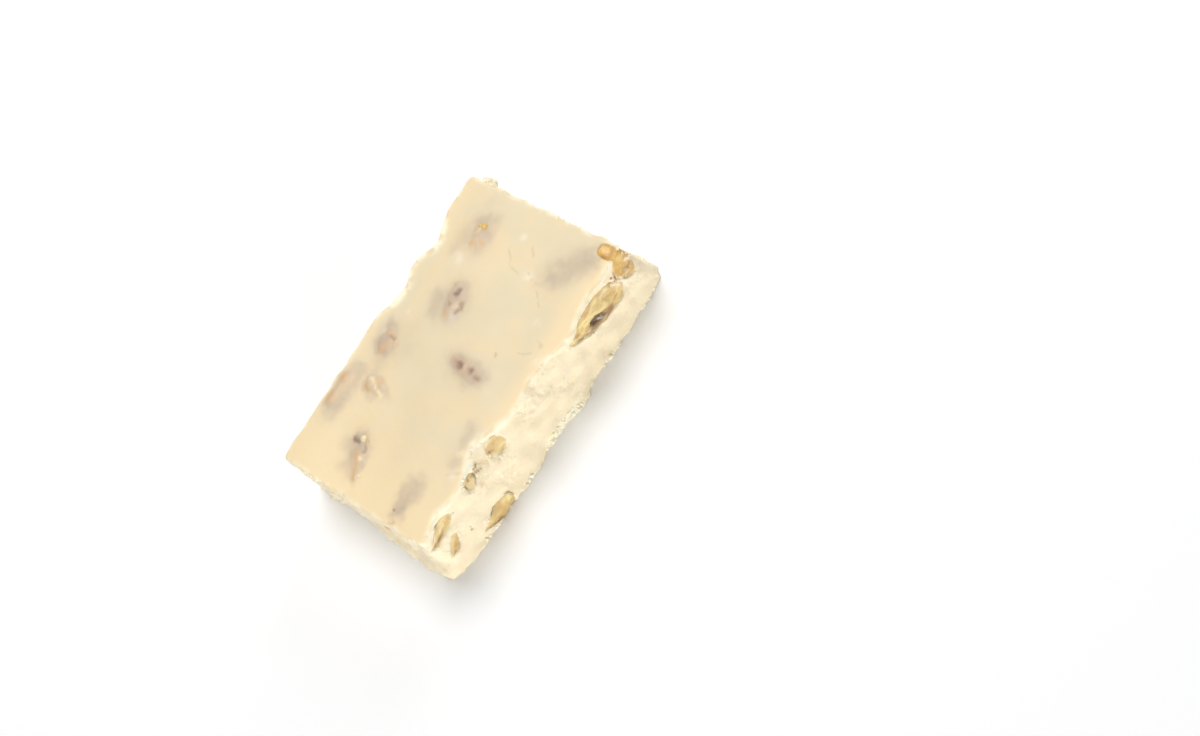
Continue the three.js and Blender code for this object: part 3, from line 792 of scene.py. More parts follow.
def pulled_inside(points, margin, proud, rim):
    """The points, with those outside the slab moved onto a skin a margin inside it, rounded at the rim."""
    x, y, z = points.T
    z = np.clip(z, NUT_UNDER, top_height(x, y) + proud)
    round_off = np.clip((z - (HEIGHT - rim)) / rim, 0, 1)
    inset = margin + rim * (1 - np.sqrt(1 - round_off ** 2))
    low = np.stack([near_side(y, z) - CRAG * ripple(CRAG_WAVES, y, z) + inset,
                    front_side(x, z) - CRAG * ripple(CRAG_WAVES, x, z) + inset])
    high = np.stack([far_side(y, z) + CRAG * ripple(CRAG_WAVES, y, z) - inset,
                     back_side(x, z) + CRAG * ripple(CRAG_WAVES, x, z) - inset])
    middle = (low + high) / 2
    radius = corner_radius(z)
    offset = np.stack([x, y]) - middle
    inner = np.clip(offset, -(high - low) / 2 + radius, (high - low) / 2 - radius)
    reach = np.hypot(*(offset - inner))
    scale = np.minimum(1, radius / np.maximum(reach, TINY))
    plan = middle + inner + (offset - inner) * scale
    return np.stack([plan[0], plan[1], z], axis=1)


# Walnut pieces

X, Y, Z = np.eye(3)
FACE_AXES = {"front": (X, Z, -Y), "back": (-X, Z, Y), "near": (-Y, Z, -X), "far": (Y, Z, X), "top": (X, Y, Z)}


def face_point(side, a, b, sunk):
    """A point on a face of the slab, or sunk inside it."""
    places = {
        "front": lambda: (a, front_side(a, b) + sunk, b),
        "back": lambda: (a, back_side(a, b) - sunk, b),
        "near": lambda: (near_side(a, b) + sunk, a, b),
        "far": lambda: (far_side(a, b) - sunk, a, b),
        "top": lambda: (a, b, top_height(a, b) - sunk),
    }
    return np.array(places[side](), dtype=float)


def all_nuts():
    """Every nut with its middle, its own directions, its half sizes, its seed, its form and its looks."""
    nuts = []
    for side, places in NUTS.items():
        for number, ((a, b), size, turn, sunk) in enumerate(places, start=1):
            along, across, out = FACE_AXES[side]
            name = f"walnut_{side}_{number}"
            form = {**PLAIN_FORM, **NUT_FORMS.get(name, {})}
            look = {**PLAIN_LOOK, **NUT_LOOKS.get(name, {})}
            tilt = math.radians(turn)
            lean = math.radians(form["lean"])
            leaning = math.cos(lean) * across - math.sin(lean) * out
            axes = np.array([
                math.cos(tilt) * along + math.sin(tilt) * leaning,
                math.cos(tilt) * leaning - math.sin(tilt) * along,
                math.cos(lean) * out + math.sin(lean) * across,
            ])
            nuts.append({
                "node": name, "side": side, "middle": face_point(side, a, b, sunk), "axes": axes,
                "half": np.array(size) / 2, "out": out, "seed": len(nuts) + 1, **form, **look,
            })
    return nuts


def lobed_radius(directions, nut):
    """Radius of a lobed nut in each direction, about 1."""
    seed = nut["seed"]
    angle = np.arctan2(directions[:, 1], directions[:, 0])
    girth = 1 - directions[:, 2] ** 2
    lobes = END_LOBES[1] * np.sin(END_LOBES[0] * directions[:, 2] + seed)
    for count, height, shift in ROUND_LOBES:
        lobes = lobes + girth * height * np.sin(count * angle + shift * seed)
    return 1 + nut["lobes"] * lobes


def end_thinning(along, nut):
    """How tall a nut is at each place along it, as a share: less at a tapered end, more at a blunt one."""
    thin = nut["taper"] * (1 - smoothstep(along, *TAPER_RUN))
    return 1 - thin + nut["blunt"] * smoothstep(along, *BLUNT_RUN)


def nut_space(points, nut):
    """Points in a nut's own space, where the nut is about a ball of radius 1."""
    scaled = (points - nut["middle"]) @ nut["axes"].T / nut["half"]
    scaled[:, 1] /= end_thinning(scaled[:, 0], nut)
    return scaled


def nut_points(scaled, nut):
    """Points of a nut's own space back in the slab."""
    local = scaled * nut["half"]
    local[:, 1] *= end_thinning(scaled[:, 0], nut)
    return nut["middle"] + local @ nut["axes"]


def depth_in_nut(points, nut):
    """How far inside a nut each point lies, along the line from the nut's middle; negative outside."""
    scaled = nut_space(points, nut)
    reach = np.linalg.norm(scaled, axis=1) + TINY
    radius = lobed_radius(scaled / reach[:, None], nut)
    return np.linalg.norm(points - nut["middle"], axis=1) * (radius / reach - 1)


def crest_over(points, nut):
    """How far a nut on top stands over each point of the top, or a low value where it doesn't reach."""
    crest = np.full(len(points), CREST_HEIGHTS[0])
    for height in CREST_HEIGHTS:
        inside = depth_in_nut(points + height * Z, nut) > 0
        crest = np.where(inside, height, crest)
    return crest


# Meshes


def make_piece(name, points, faces, attributes, material):
    """A smooth mesh object in metres, with one number per point for each attribute."""
    mesh = bpy.data.meshes.new(name)
    mesh.from_pydata((points * MM).tolist(), [], faces)
    mesh.polygons.foreach_set("use_smooth", [True] * len(mesh.polygons))
    for key, values in attributes.items():
        mesh.attributes.new(key, "FLOAT", "POINT").data.foreach_set("value", values.astype(np.float32))
    mesh.materials.append(material)
    piece = bpy.data.objects.new(name, mesh)
    bpy.context.scene.collection.objects.link(piece)
    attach(piece, "root")
    return piece


def point_normals(points, faces):
    """Unit normals of a mesh at its points."""
    mesh = bpy.data.meshes.new("normals")
    mesh.from_pydata(points.tolist(), [], faces)
    normals = np.empty(len(points) * 3)
    mesh.vertex_normals.foreach_get("vector", normals)
    bpy.data.meshes.remove(mesh)
    return normals.reshape(-1, 3)


def ball(subdivisions):
    """Directions and faces of a ball of small triangles."""
    shape = bmesh.new()
    bmesh.ops.create_icosphere(shape, subdivisions=subdivisions, radius=1)
    directions = np.array([vertex.co for vertex in shape.verts])
    faces = np.array([[vertex.index for vertex in face.verts] for face in shape.faces])
    shape.free()
    return directions / np.linalg.norm(directions, axis=1)[:, None], faces


# Surface of the fudge


def cut_relief(points):
    """Relief of the cut sides: soft lumps, grain, torn pits and drags of the knife."""
    torn = patches(points, "torn")
    drag = pattern(points / np.array([DRAG["stretch"], DRAG["stretch"], 1.0]), "drag")
    return (LUMP_DEEP * pattern(points, "lump")
            + GRAIN["deep"] * (GRAIN["least"] + torn) * pattern(points, "grain")
            - PIT["deep"] * (PIT["least"] + PIT["torn"] * torn) * patches(points, "pit")
            + DRAG["deep"] * drag)


def foot_rag(points):
    """Ragged lumps of fudge along the foot."""
    low = 1 - smoothstep(points[:, 2], 0, FOOT_RAG["rise"])
    return FOOT_RAG["deep"] * low * np.clip(pattern(points, "foot"), FOOT_RAG["least"], 1)


def top_relief(points):
    """Relief of the top: slow rolls and shallow dimples."""
    return ROLL_DEEP * pattern(points, "roll") + DIMPLE_DEEP * pattern(points, "dimple")


def capsule_reach(a, b, at_a, at_b, long, wide, turn):
    """Distance from the middle line of a long mark with round ends, 1 at its border."""
    tilt = math.radians(turn)
    along = (a - at_a) * math.cos(tilt) + (b - at_b) * math.sin(tilt)
    across = (b - at_b) * math.cos(tilt) - (a - at_a) * math.sin(tilt)
    past_end = np.maximum(np.abs(along) - (long - wide), 0)
    return np.hypot(past_end, across) / wide


def smudge_over(points, nuts):
    """How strongly nuts show through the top: their halos and the smudges of nuts that lie deeper."""
    points = points.copy()
    points[:, :2] += wander(points, "halo wander")
    total = np.zeros(len(points))
    for *place, strength in SMUDGES:
        reach = capsule_reach(points[:, 0], points[:, 1], *place)
        total = np.maximum(total, strength * np.exp(-reach ** SMUDGE_FADE))
    for nut in nuts:
        if nut["side"] == "top":
            depth = depth_in_nut(points, nut)
            near = smoothstep(depth, *HALO["run"]) ** 2
            core = smoothstep(depth, *HALO["core_run"]) * patches(points, "halo core")
            total = np.maximum(total, HALO["near"] * near + HALO["core"] * nut["dark"] * core)
    return np.clip(total * (HALO["mean"] + HALO["change"] * pattern(points, "halo")), 0, 1)


def stamped(a, b, marks, fade):
    """The strongest of some long marks at each place, 1 along its middle line."""
    total = np.zeros(len(a))
    for place in marks:
        total = np.maximum(total, np.exp(-capsule_reach(a, b, *place) ** fade))
    return total


def spots_over(points, kind):
    """Where bits of walnut of one kind show through the skin of the top."""
    x, y = (points[:, :2] + wander(points, "spot wander")).T
    return stamped(x, y, SPOTS[kind], SPOT_LOOKS[kind]["fade"])


def edge_glow(points):
    """How much painted glow of light seeping in through each side lies near the edges of the top."""
    x, y, _ = points.T
    gaps = {"near": x + LENGTH / 2, "far": LENGTH / 2 - x, "front": y + WIDTH / 2, "back": WIDTH / 2 - y}
    glow = np.zeros(len(points))
    for side, gap in gaps.items():
        glow = np.maximum(glow, EDGE_GLOW[side] * (1 - smoothstep(gap, 0, GLOW_REACH[side])))
    return glow


def bloom_over(points):
    """Pale spots of sugar bloom on the top."""
    x, y, _ = points.T
    total = np.zeros(len(points))
    for at_x, at_y, radius in BLOOMS:
        away = ((x - at_x) ** 2 + (y - at_y) ** 2) / radius ** 2
        total = np.maximum(total, np.exp(-away ** BLOOM["fade"]))
    return BLOOM["most"] * total * patches(points, "bloom")


def bite_at(points):
    """How far the top edge beside each point is bitten back."""
    x, y, _ = points.T
    return np.where(y < 0, moved(FRONT_BITES, x), moved(BACK_BITES, x))


def rim_frost_and_highlight(points, below):
    """Painted highlight along the rim, turning into pale crumbled fudge, strongest and widest, where the edge
    has been bitten back.
    """
    y = points[:, 1]
    bitten = np.clip(bite_at(points) / RIM_FROST_AND_HIGHLIGHT["bite"], 0, 1) * (np.abs(y) > WIDTH / 4)
    front, back = (start + more * bitten for start, more in (RIM_FROST_AND_HIGHLIGHT["front"], RIM_FROST_AND_HIGHLIGHT["back"]))
    away = (below - np.where(y < 0, front, back)) / (RIM_FROST_AND_HIGHLIGHT["wide"] + RIM_FROST_AND_HIGHLIGHT["wider"] * bitten)
    return np.exp(-away ** 2) * mix(RIM_FROST_AND_HIGHLIGHT["least"], 1, bitten) * patches(points, "frost")


def foot_frost(points):
    """Pale crumbled fudge along a length of the front's foot."""
    x, y, z = points.T
    start, stop, end = FOOT_FROST["from"], FOOT_FROST["to"], FOOT_FROST["end"]
    along = smoothstep(x, start, start + end) * (1 - smoothstep(x, stop - end, stop))
    level = z + FOOT_FROST["uneven"] * pattern(points, "foot frost")
    high, soft = FOOT_FROST["high"], FOOT_FROST["soft"]
    low = 1 - smoothstep(level, high - soft, high + soft)
    return along * low * (y < 0)


def crack_over(points):
    """Hairline cracks in the top."""
    total = np.zeros(len(points))
    places = points[:, :2] + wander(points, "crack wander")
    for start, end in np.array(CRACKS):
        run = end - start
        share = np.clip((places - start) @ run / (run @ run), 0, 1)
        gap = np.linalg.norm(places - start - share[:, None] * run, axis=1)
        total = np.maximum(total, np.exp(-(gap / CRACK["wide"]) ** 2))
    return total * patches(points, "crack")


def top_numbers(points, below, nuts):
    """What shows on the top: spots of walnut, cracks, bloom, glowing edges and smudges."""
    on_top = 1 - smoothstep(below, *CUT_RUN)
    numbers = {f"spot_{kind}": spots_over(points, kind) * on_top for kind in SPOTS}
    numbers["crack"] = crack_over(points) * on_top
    numbers["bloom"] = bloom_over(points) * on_top
    numbers["edge"] = edge_glow(points) * on_top
    numbers["smudge"] = smudge_over(points, nuts) * (1 - smoothstep(below, *SMUDGE_RUN))
    return numbers


def bed_nuts(points, below, cut, nuts, relief, torn):
    """The relief with a bed for every nut, the ragged foot clear of them, and how torn the fudge is."""
    border_noise = pattern(points, "nut border")
    rag = cut * foot_rag(points)
    for nut in nuts:
        depth = depth_in_nut(points, nut)
        if nut["side"] == "top":
            over = np.flatnonzero((below < 0) & (depth > -TOP_NUT["near"]))
            crest = crest_over(points[over], nut)
            relief[over] += TOP_NUT["swell"] * smoothstep(crest, *TOP_NUT["crest"])
            continue
        rag = rag * (1 - smoothstep(depth, -FOOT_RAG["clear"], 0))
        close = np.exp(-(depth / NUT_BORDER["wide"]) ** 2)
        torn = np.maximum(torn, close * cut * NUT_BORDER["torn"])
        relief = relief + close * NUT_BORDER["rough"] * border_noise
        wavy = depth + nut["room"] + NUT_BORDER["rough"] * (border_noise - NUT_BORDER["shift"])
        dip = NUT_BED + nut["recess"] + hollow_depth(points, nut)
        relief = relief - dip * smoothstep(wavy, *NUT_BORDER["run"])
    return relief + rag, torn


def fudge_surface(nuts):
    """The slab with all its relief, bedded round the nuts, and the numbers that its material reads."""
    points, faces, below = slab_grid()
    cut = smoothstep(below, *CUT_RUN)
    numbers = top_numbers(points, below, nuts)
    calm = smoothstep(below, *CALM_RUN)
    relief_of_cut = cut_relief(points) * mix(calm, 1, np.clip(bite_at(points), 0, 1))
    relief = cut * relief_of_cut + (1 - cut) * top_relief(points)
    relief = relief - CRACK["deep"] * numbers["crack"] + BLOOM["rise"] * numbers["bloom"]
    relief = relief + sum(look["rise"] * numbers[f"spot_{kind}"] for kind, look in SPOT_LOOKS.items())
    relief, torn = bed_nuts(points, below, cut, nuts, relief, patches(points, "torn") * cut)

    shaped = points + point_normals(points, faces) * relief[:, None]
    shaped[:, 2] = np.where(points[:, 2] <= 0, 0, np.maximum(shaped[:, 2], 0))
    shaped[-1] = points[-1]
    # rim band: a painted highlight along the rim, with pale crumbled fudge where bitten; foot band: pale
    # crumbled fudge
    frost = np.maximum(rim_frost_and_highlight(points, below), FOOT_FROST["pale"] * foot_frost(points))
    # painted shade in the pits of the cut relief
    hollow = cut * smoothstep(-relief_of_cut, *PIT_SHADE)
    numbers.update({"cut": cut, "torn": torn, "rim": frost, "hollow": hollow})
    return shaped, faces, numbers, point_normals(shaped, faces), below


# Surface of a nut


def fold_relief(points, nut):
    """The brain-like folds of a kernel: rounded lobes with narrow valleys between them."""
    lobes = smoothstep(np.abs(pattern(points, "fold", nut["seed"])), 0, FOLD["valley"]) - FOLD["level"]
    return nut["fold"] * lobes + WRINKLE_DEEP * pattern(points, "wrinkle", nut["seed"])


def in_hollow(points, nut, shift, grow, edge):
    """1 inside the long nut's hollow, moved by shift and grown, and 0 past its edge and in other nuts."""
    if nut["node"] != HOLLOW_NUT:
        return np.zeros(len(points))
    tilt = math.radians(HOLLOW["turn"])
    x = points[:, 0] - HOLLOW["at"][0] - shift[0]
    z = points[:, 2] - HOLLOW["at"][1] - shift[1]
    along = (x * math.cos(tilt) + z * math.sin(tilt)) / HOLLOW["half"][0]
    across = (z * math.cos(tilt) - x * math.sin(tilt)) / HOLLOW["half"][1]
    reach = np.sqrt(along ** 2 + across ** 2) / grow + HOLLOW["uneven"] * pattern(points, "hollow")
    return 1 - smoothstep(reach, *edge)


def hollow_depth(points, nut):
    """Depth of the hollow in the cut face of the long nut."""
    return HOLLOW["deep"] * in_hollow(points, nut, (0, 0), 1, HOLLOW["edge"])


def hollow_rind(points, nut):
    """Where brown skin shows below the hollow in the long nut."""
    return in_hollow(points, nut, **HOLLOW_RIND)


def hollow_looks(points, nut):
    """Depth of a nut's hollow, where brown skin lines it, its core painted dark with shade, and pale bits in
    it that also serve as painted glints.
    """
    hollow = hollow_depth(points, nut)
    lined = smoothstep(hollow, *HOLLOW["lined"])
    return hollow, lined, smoothstep(hollow, *HOLLOW["core"]), lined * patches(points, "hollow bits and glints")


def from_knob(points):
    """Distance from the middle of the corner nut's knob, 1 at its border."""
    return np.linalg.norm((points[:, :2] - np.array(KNOB["at"])) / np.array(KNOB["half"]), axis=1)


def beside_knob(points):
    """1 on the side of the knob where it runs out into the flesh, and 0 on the other side."""
    return smoothstep((points[:, :2] - np.array(KNOB["at"])) @ np.array(KNOB["toward"]), 0, KNOB["half"][1])


def knobbed(points):
    """The points of the corner nut, with its top rounded to a knob."""
    fall = mix(KNOB["fall"], KNOB["slow_fall"], beside_knob(points))
    ceiling = np.maximum(KNOB["top"] - fall * from_knob(points) ** 2, KNOB["least"])
    return np.stack([points[:, 0], points[:, 1], np.minimum(points[:, 2], ceiling)], axis=1)


def knob_looks(points):
    """Which points lie on the corner nut's knob, how golden its flesh is and the dark line round the knob,
    partly brown skin and partly painted shade.
    """
    away = from_knob(points)
    high = smoothstep(points[:, 2], KNOB["least"] - KNOB["begins"], KNOB["least"] - KNOB["full"])
    knob = high * (1 - smoothstep(away, *KNOB["edge"]))
    # dark line round the knob: brown skin and painted shade of the crevice
    line = high * np.exp(-((away - KNOB_LINE["at"]) / KNOB_LINE["wide"]) ** 2)
    line = line * mix(1.0, KNOB_LINE["by_flesh"], beside_knob(points))
    rise = points[:, 2] - KNOB_GOLD["at"][1] - points[:, 0] + KNOB_GOLD["at"][0]
    up = smoothstep(rise, -KNOB_GOLD["spread"], KNOB_GOLD["spread"])
    golden = mix(KNOB_GOLD["least"], KNOB_GOLD["most"], up)
    ripe = knob * mix(KNOB_GOLD["middle"], 1, smoothstep(away, *KNOB_GOLD["edge"]))
    return knob, mix(golden, ripe, knob), line


def long_folds(points, nut):
    """Long folds along a cut nut, from -1 in the valleys to 1 on the ridges."""
    across = nut_space(points, nut)[:, 1]
    winding = LONG_FOLD["wander"] * pattern(points, "long fold", nut["seed"])
    return np.sin(LONG_FOLD["close"] * across + winding + nut["seed"])


def border_rind(points, nut, inside):
    """Brown skin along a cut nut's border, in broken lengths, and along the lower side of its tail."""
    along, across, _ = nut_space(points, nut).T
    broken = smoothstep(pattern(points, "rind", nut["seed"]), RIND["from"] - nut["rind"], RIND["whole"])
    border = nut["rind"] * broken * (1 - smoothstep(inside, *RIND["border"]))
    tail = smoothstep(-across, *TAIL_RIND["across"]) * (1 - smoothstep(along, *TAIL_RIND["along"]))
    return np.maximum(border, nut["under"] * tail * (1 - smoothstep(inside, *TAIL_RIND["border"])))


def marks_on(points, nut, kind):
    """Where marks of one kind lie on the cut face of a nut."""
    x, z = (points[:, [0, 2]] + wander(points, "mark wander")).T
    marks = [place for mark_kind, *place in NUT_MARKS.get(nut["node"], []) if mark_kind == kind]
    return stamped(x, z, marks, MARK_FADE)


def flesh_shade(points, nut, folds, chips):
    """Where the flesh of a cut nut is deeper, with painted shade in fold valleys and chips, and where it is
    paler, with a painted highlight on the ridges.
    """
    across = nut_space(points, nut)[:, 1]
    low = -across + SHADE["uneven"] * pattern(points, "lower", nut["seed"])
    shade = np.maximum.reduce([
        SHADE["valley"] * smoothstep(-folds, *SHADE["valley_run"]), smoothstep(chips, *SHADE["chip_run"]),
        SHADE["lower"] * smoothstep(low, *SHADE["lower_run"]), np.full(len(points), nut["deep"]),
        SHADE["mark"] * marks_on(points, nut, "deep"),
    ])
    pale = smoothstep(folds, *RIDGE_RUN) * patches(points, "pale", nut["seed"])
    return shade, np.maximum(pale * (1 - nut["deep"]), marks_on(points, nut, "pale"))


def film_over(points, nut, inside, skin, lined, crumbs):
    """Fudge over the cut face of a nut: smears, a thin veil at the border, pale bits in the hollow that also
    serve as painted glints, and marks.
    """
    border = 1 - smoothstep(inside, *SMEAR["border"])
    patch = SMEAR["patches"] * pattern(points, "smear", nut["seed"])
    smear = smoothstep(patch + SMEAR["near"] * border + nut["smear"], *SMEAR["run"]) * (1 - lined)
    veil = SMEAR["veil"] * (1 - smoothstep(inside, *SMEAR["veil_border"])) * (1 - lined)
    return np.maximum.reduce([
        smear * (1 - FILM["smear_off"] * skin), veil * (1 - FILM["veil_off"] * skin),
        nut["milky"] * (1 - skin), FILM["crumb"] * crumbs,
        FILM["fudge"] * marks_on(points, nut, "fudge"), FILM["veil"] * marks_on(points, nut, "veil"),
    ])


def sliced_nut(points, nut):
    """A nut at the side, sliced flush with the slab, and its material's numbers."""
    knob = line = golden = np.zeros(len(points))
    if nut["node"] == KNOB_NUT:
        points = knobbed(points)
        sliced = pulled_inside(points, nut["recess"], KNOB["top"] - HEIGHT, KNOB["round"])
        knob, golden, line = knob_looks(sliced)
    else:
        sliced = pulled_inside(points, nut["recess"], -NUT_UNDER, RIM_RADIUS)
    cut = smoothstep(np.linalg.norm(sliced - points, axis=1), *SLICED) * (1 - knob)
    # crumbs are pale bits in the hollow that also serve as painted glints
    hollow, lined, core, crumbs = hollow_looks(sliced, nut)
    folds = long_folds(sliced, nut) * (1 - lined)
    chips = np.clip(nut["chip"] * pattern(sliced, "chip", nut["seed"]), *CHIP_RANGE)
    crumple = HOLLOW["crumple"] * (lined * pattern(sliced, "crumple") - crumbs)
    brown = marks_on(sliced, nut, "brown")
    dents = hollow + chips + crumple - LONG_FOLD["deep"] * folds
    dents = dents + MARK_DEEP * (brown - marks_on(sliced, nut, "fudge"))
    shaped = sliced - (cut * dents)[:, None] * nut["out"]

    inside = depth_in_nut(sliced, nut)
    shade, pale = flesh_shade(sliced, nut, folds, chips)
    skin = np.maximum.reduce([
        border_rind(sliced, nut, inside), SKIN_SHOWS["hollow"] * lined,
        SKIN_SHOWS["below"] * hollow_rind(sliced, nut), SKIN_SHOWS["line"] * line, SKIN_SHOWS["mark"] * brown,
    ])
    film = film_over(sliced, nut, inside, skin, lined, crumbs)
    grains = nut["grains"] * patches(sliced, "grains", nut["seed"])
    return shaped, {
        "skin": skin, "film": film * (1 - np.maximum(knob, line)), "amber": nut["amber"] * golden,
        "shade": shade * (1 - knob), "pale": pale, "grains": grains * (1 - lined) * (1 - knob),
        "gloss": np.maximum(lined, knob), "lined": core,
    }


def pressed_nut(points, nut, fold):
    """A nut on top, pressed flat under the fudge, and its material's numbers."""
    ceiling = top_height(points[:, 0], points[:, 1]) - TOP_NUT["below"]
    points[:, 2] -= (1 - TOP_NUT["press"]) * np.maximum(points[:, 2] - ceiling, 0)
    low, high = (share * nut["fold"] for share in TOP_NUT_SKIN)
    return points, {
        "skin": 1 - smoothstep(fold, low, high),
        "film": patches(points, "film", nut["seed"]) * TOP_NUT_FILM,
    }


def nut_surface(nut):
    """A nut's mesh and its material's numbers."""
    directions, faces = ball(BALL["long nut" if nut["half"][0] > LONG_NUT else "nut"])
    whole = nut_points(directions * lobed_radius(directions, nut)[:, None], nut)
    outward = directions / nut["half"]
    outward = outward / np.linalg.norm(outward, axis=1)[:, None] @ nut["axes"]
    fold = fold_relief(whole, nut)
    points = whole + outward * fold[:, None]
    if nut["side"] == "top":
        points, numbers = pressed_nut(points, nut, fold)
    else:
        points, numbers = sliced_nut(points, nut)
    numbers["tone"] = nut["dark"] * patches(points, "tone", nut["seed"])
    return points, faces.tolist(), numbers


# Crumbs and specks


def crumb_mesh(places, radii, seed):
    """One mesh of many broken crumbs, each with a few flattish faces."""
    draw = np.random.default_rng(seed)
    directions, faces = ball(BALL["crumb"])
    count = CRUMB["sides"]
    points = []
    triangles = []
    for number, (place, radius) in enumerate(zip(places, radii)):
        sides = draw.normal(size=(count, 3))
        sides /= np.linalg.norm(sides, axis=1)[:, None]
        facing = directions @ sides.T
        cut_at = draw.uniform(*CRUMB["side_at"], count) / np.maximum(facing, CRUMB["facing"])
        reach = np.where(facing > CRUMB["facing"], cut_at, CRUMB["far"]).min(axis=1)
        roughness = noise(directions + CRUMB["step"] * number, CRUMB["size"], seed)
        reach = np.minimum(reach, CRUMB["most"]) + CRUMB["rough"] * roughness
        points.append(place + directions * (reach * radius)[:, None] * draw.uniform(*CRUMB["stretch"], 3))
        triangles.append(faces + number * len(directions))
    return np.concatenate(points), np.concatenate(triangles).tolist()


def clinging(draw, surface, normals, choice, count, low, high):
    """Places and radii of crumbs that cling to chosen points of the surface, small ones most often."""
    spots = draw.choice(np.flatnonzero(choice), count)
    radius = low + (high - low) * draw.random(count) ** CLING["small"]
    sunk = radius * draw.uniform(*CLING["sunk"], count)
    return surface[spots] - normals[spots] * sunk[:, None], radius


def tuft(draw):
    """Places and radii of the tuft of crumbs at the far end's top edge."""
    scatter = draw.normal(0, 1, (TUFT["count"], 3)).clip(-TUFT["reach"], TUFT["reach"])
    places = np.array(TUFT["at"]) + scatter * np.array(TUFT["spread"])
    return places, draw.uniform(*TUFT["radius"], TUFT["count"])


def beside_nuts(surface, nuts):
    """Which points of the surface lie at the border of a nut in a side."""
    beside = np.zeros(len(surface), dtype=bool)
    for nut in nuts:
        if nut["side"] != "top":
            deepest = CRUMB_ZONE["in_knob_nut" if nut["node"] == KNOB_NUT else "in_nut"]
            depth = depth_in_nut(surface, nut)
            beside |= (depth > -CRUMB_ZONE["out_of_nut"]) & (depth < deepest)
    return beside


def crumb_places(surface, normals, below, nuts):
    """Places and radii of crumbs: at the foot, under the rim, on the faces, round nuts and in a tuft."""
    draw = np.random.default_rng(CRUMB_SEED)
    z = surface[:, 2]
    torn = patches(surface, "torn")
    foot_low, foot_high = CRUMB_ZONE["foot"]
    rim_high, rim_low = CRUMB_ZONE["rim"]
    by_nut = beside_nuts(surface, nuts) & (pattern(surface, "nut crumb") > 0)
    choices = {
        "foot": (z < foot_high) & (z > foot_low) & (pattern(surface, "foot crumb") > 0),
        "rim": (below > rim_high) & (below < rim_low) & (torn > CRUMB_ZONE["rim_torn"]),
        "face": (below > rim_low) & (z > foot_high) & (torn > CRUMB_ZONE["face_torn"]),
        "nut": (below > CRUMB_ZONE["nut_below"]) & by_nut,
    }
    groups = []
    for kind, (count, low, high) in CRUMBS.items():
        place, radius = clinging(draw, surface, normals, choices[kind], count, low, high)
        if kind == "foot":
            place[:, 2] = np.maximum(place[:, 2] * FOOT_CRUMB["drop"], radius * FOOT_CRUMB["rest"])
        groups.append((place, radius))
    groups.append(tuft(draw))
    frosted = (foot_frost(surface) > FOOT_FROST["least"]) & (z > FOOT_FROST["low"])
    groups.append(clinging(draw, surface, normals, frosted, FOOT_FROST["count"], *FOOT_FROST["radius"]))
    places, radii = zip(*groups)
    return np.concatenate(places), np.concatenate(radii)


def outermost(side, a, b, surfaces):
    """The outermost point of the fudge and nuts at a place on a face."""
    along, across, out = FACE_AXES[side]
    close = np.hypot(surfaces @ along - a, surfaces @ across - b) < SPECK_REACH
    return a * along + b * across + (surfaces[close] @ out).max() * out


def specks(surfaces):
    """Bits of walnut half sunk in the fudge and the nuts, as one mesh, with their material's numbers."""
    places = []
    for _, side, a, b, radius in SPECKS:
        places.append(outermost(side, a, b, surfaces) - SPECK_SUNK * radius * FACE_AXES[side][2])
    points, faces = crumb_mesh(places, [speck[-1] for speck in SPECKS], CRUMB_SEED + 1)
    each = len(points) // len(SPECKS)
    middles = np.repeat(np.array(places), each, axis=0)
    outward = np.repeat([FACE_AXES[speck[1]][2] for speck in SPECKS], each, axis=0)
    height = np.sum((points - middles) * outward, axis=1)
    points = points - ((1 - SPECK_FLAT) * height)[:, None] * outward
    numbers = {}
    for key in ("skin", "tone", "film", "amber", "gloss"):
        numbers[key] = np.repeat([SPECK_LOOKS[speck[0]][key] for speck in SPECKS], each)
    return points, faces, numbers


# Materials


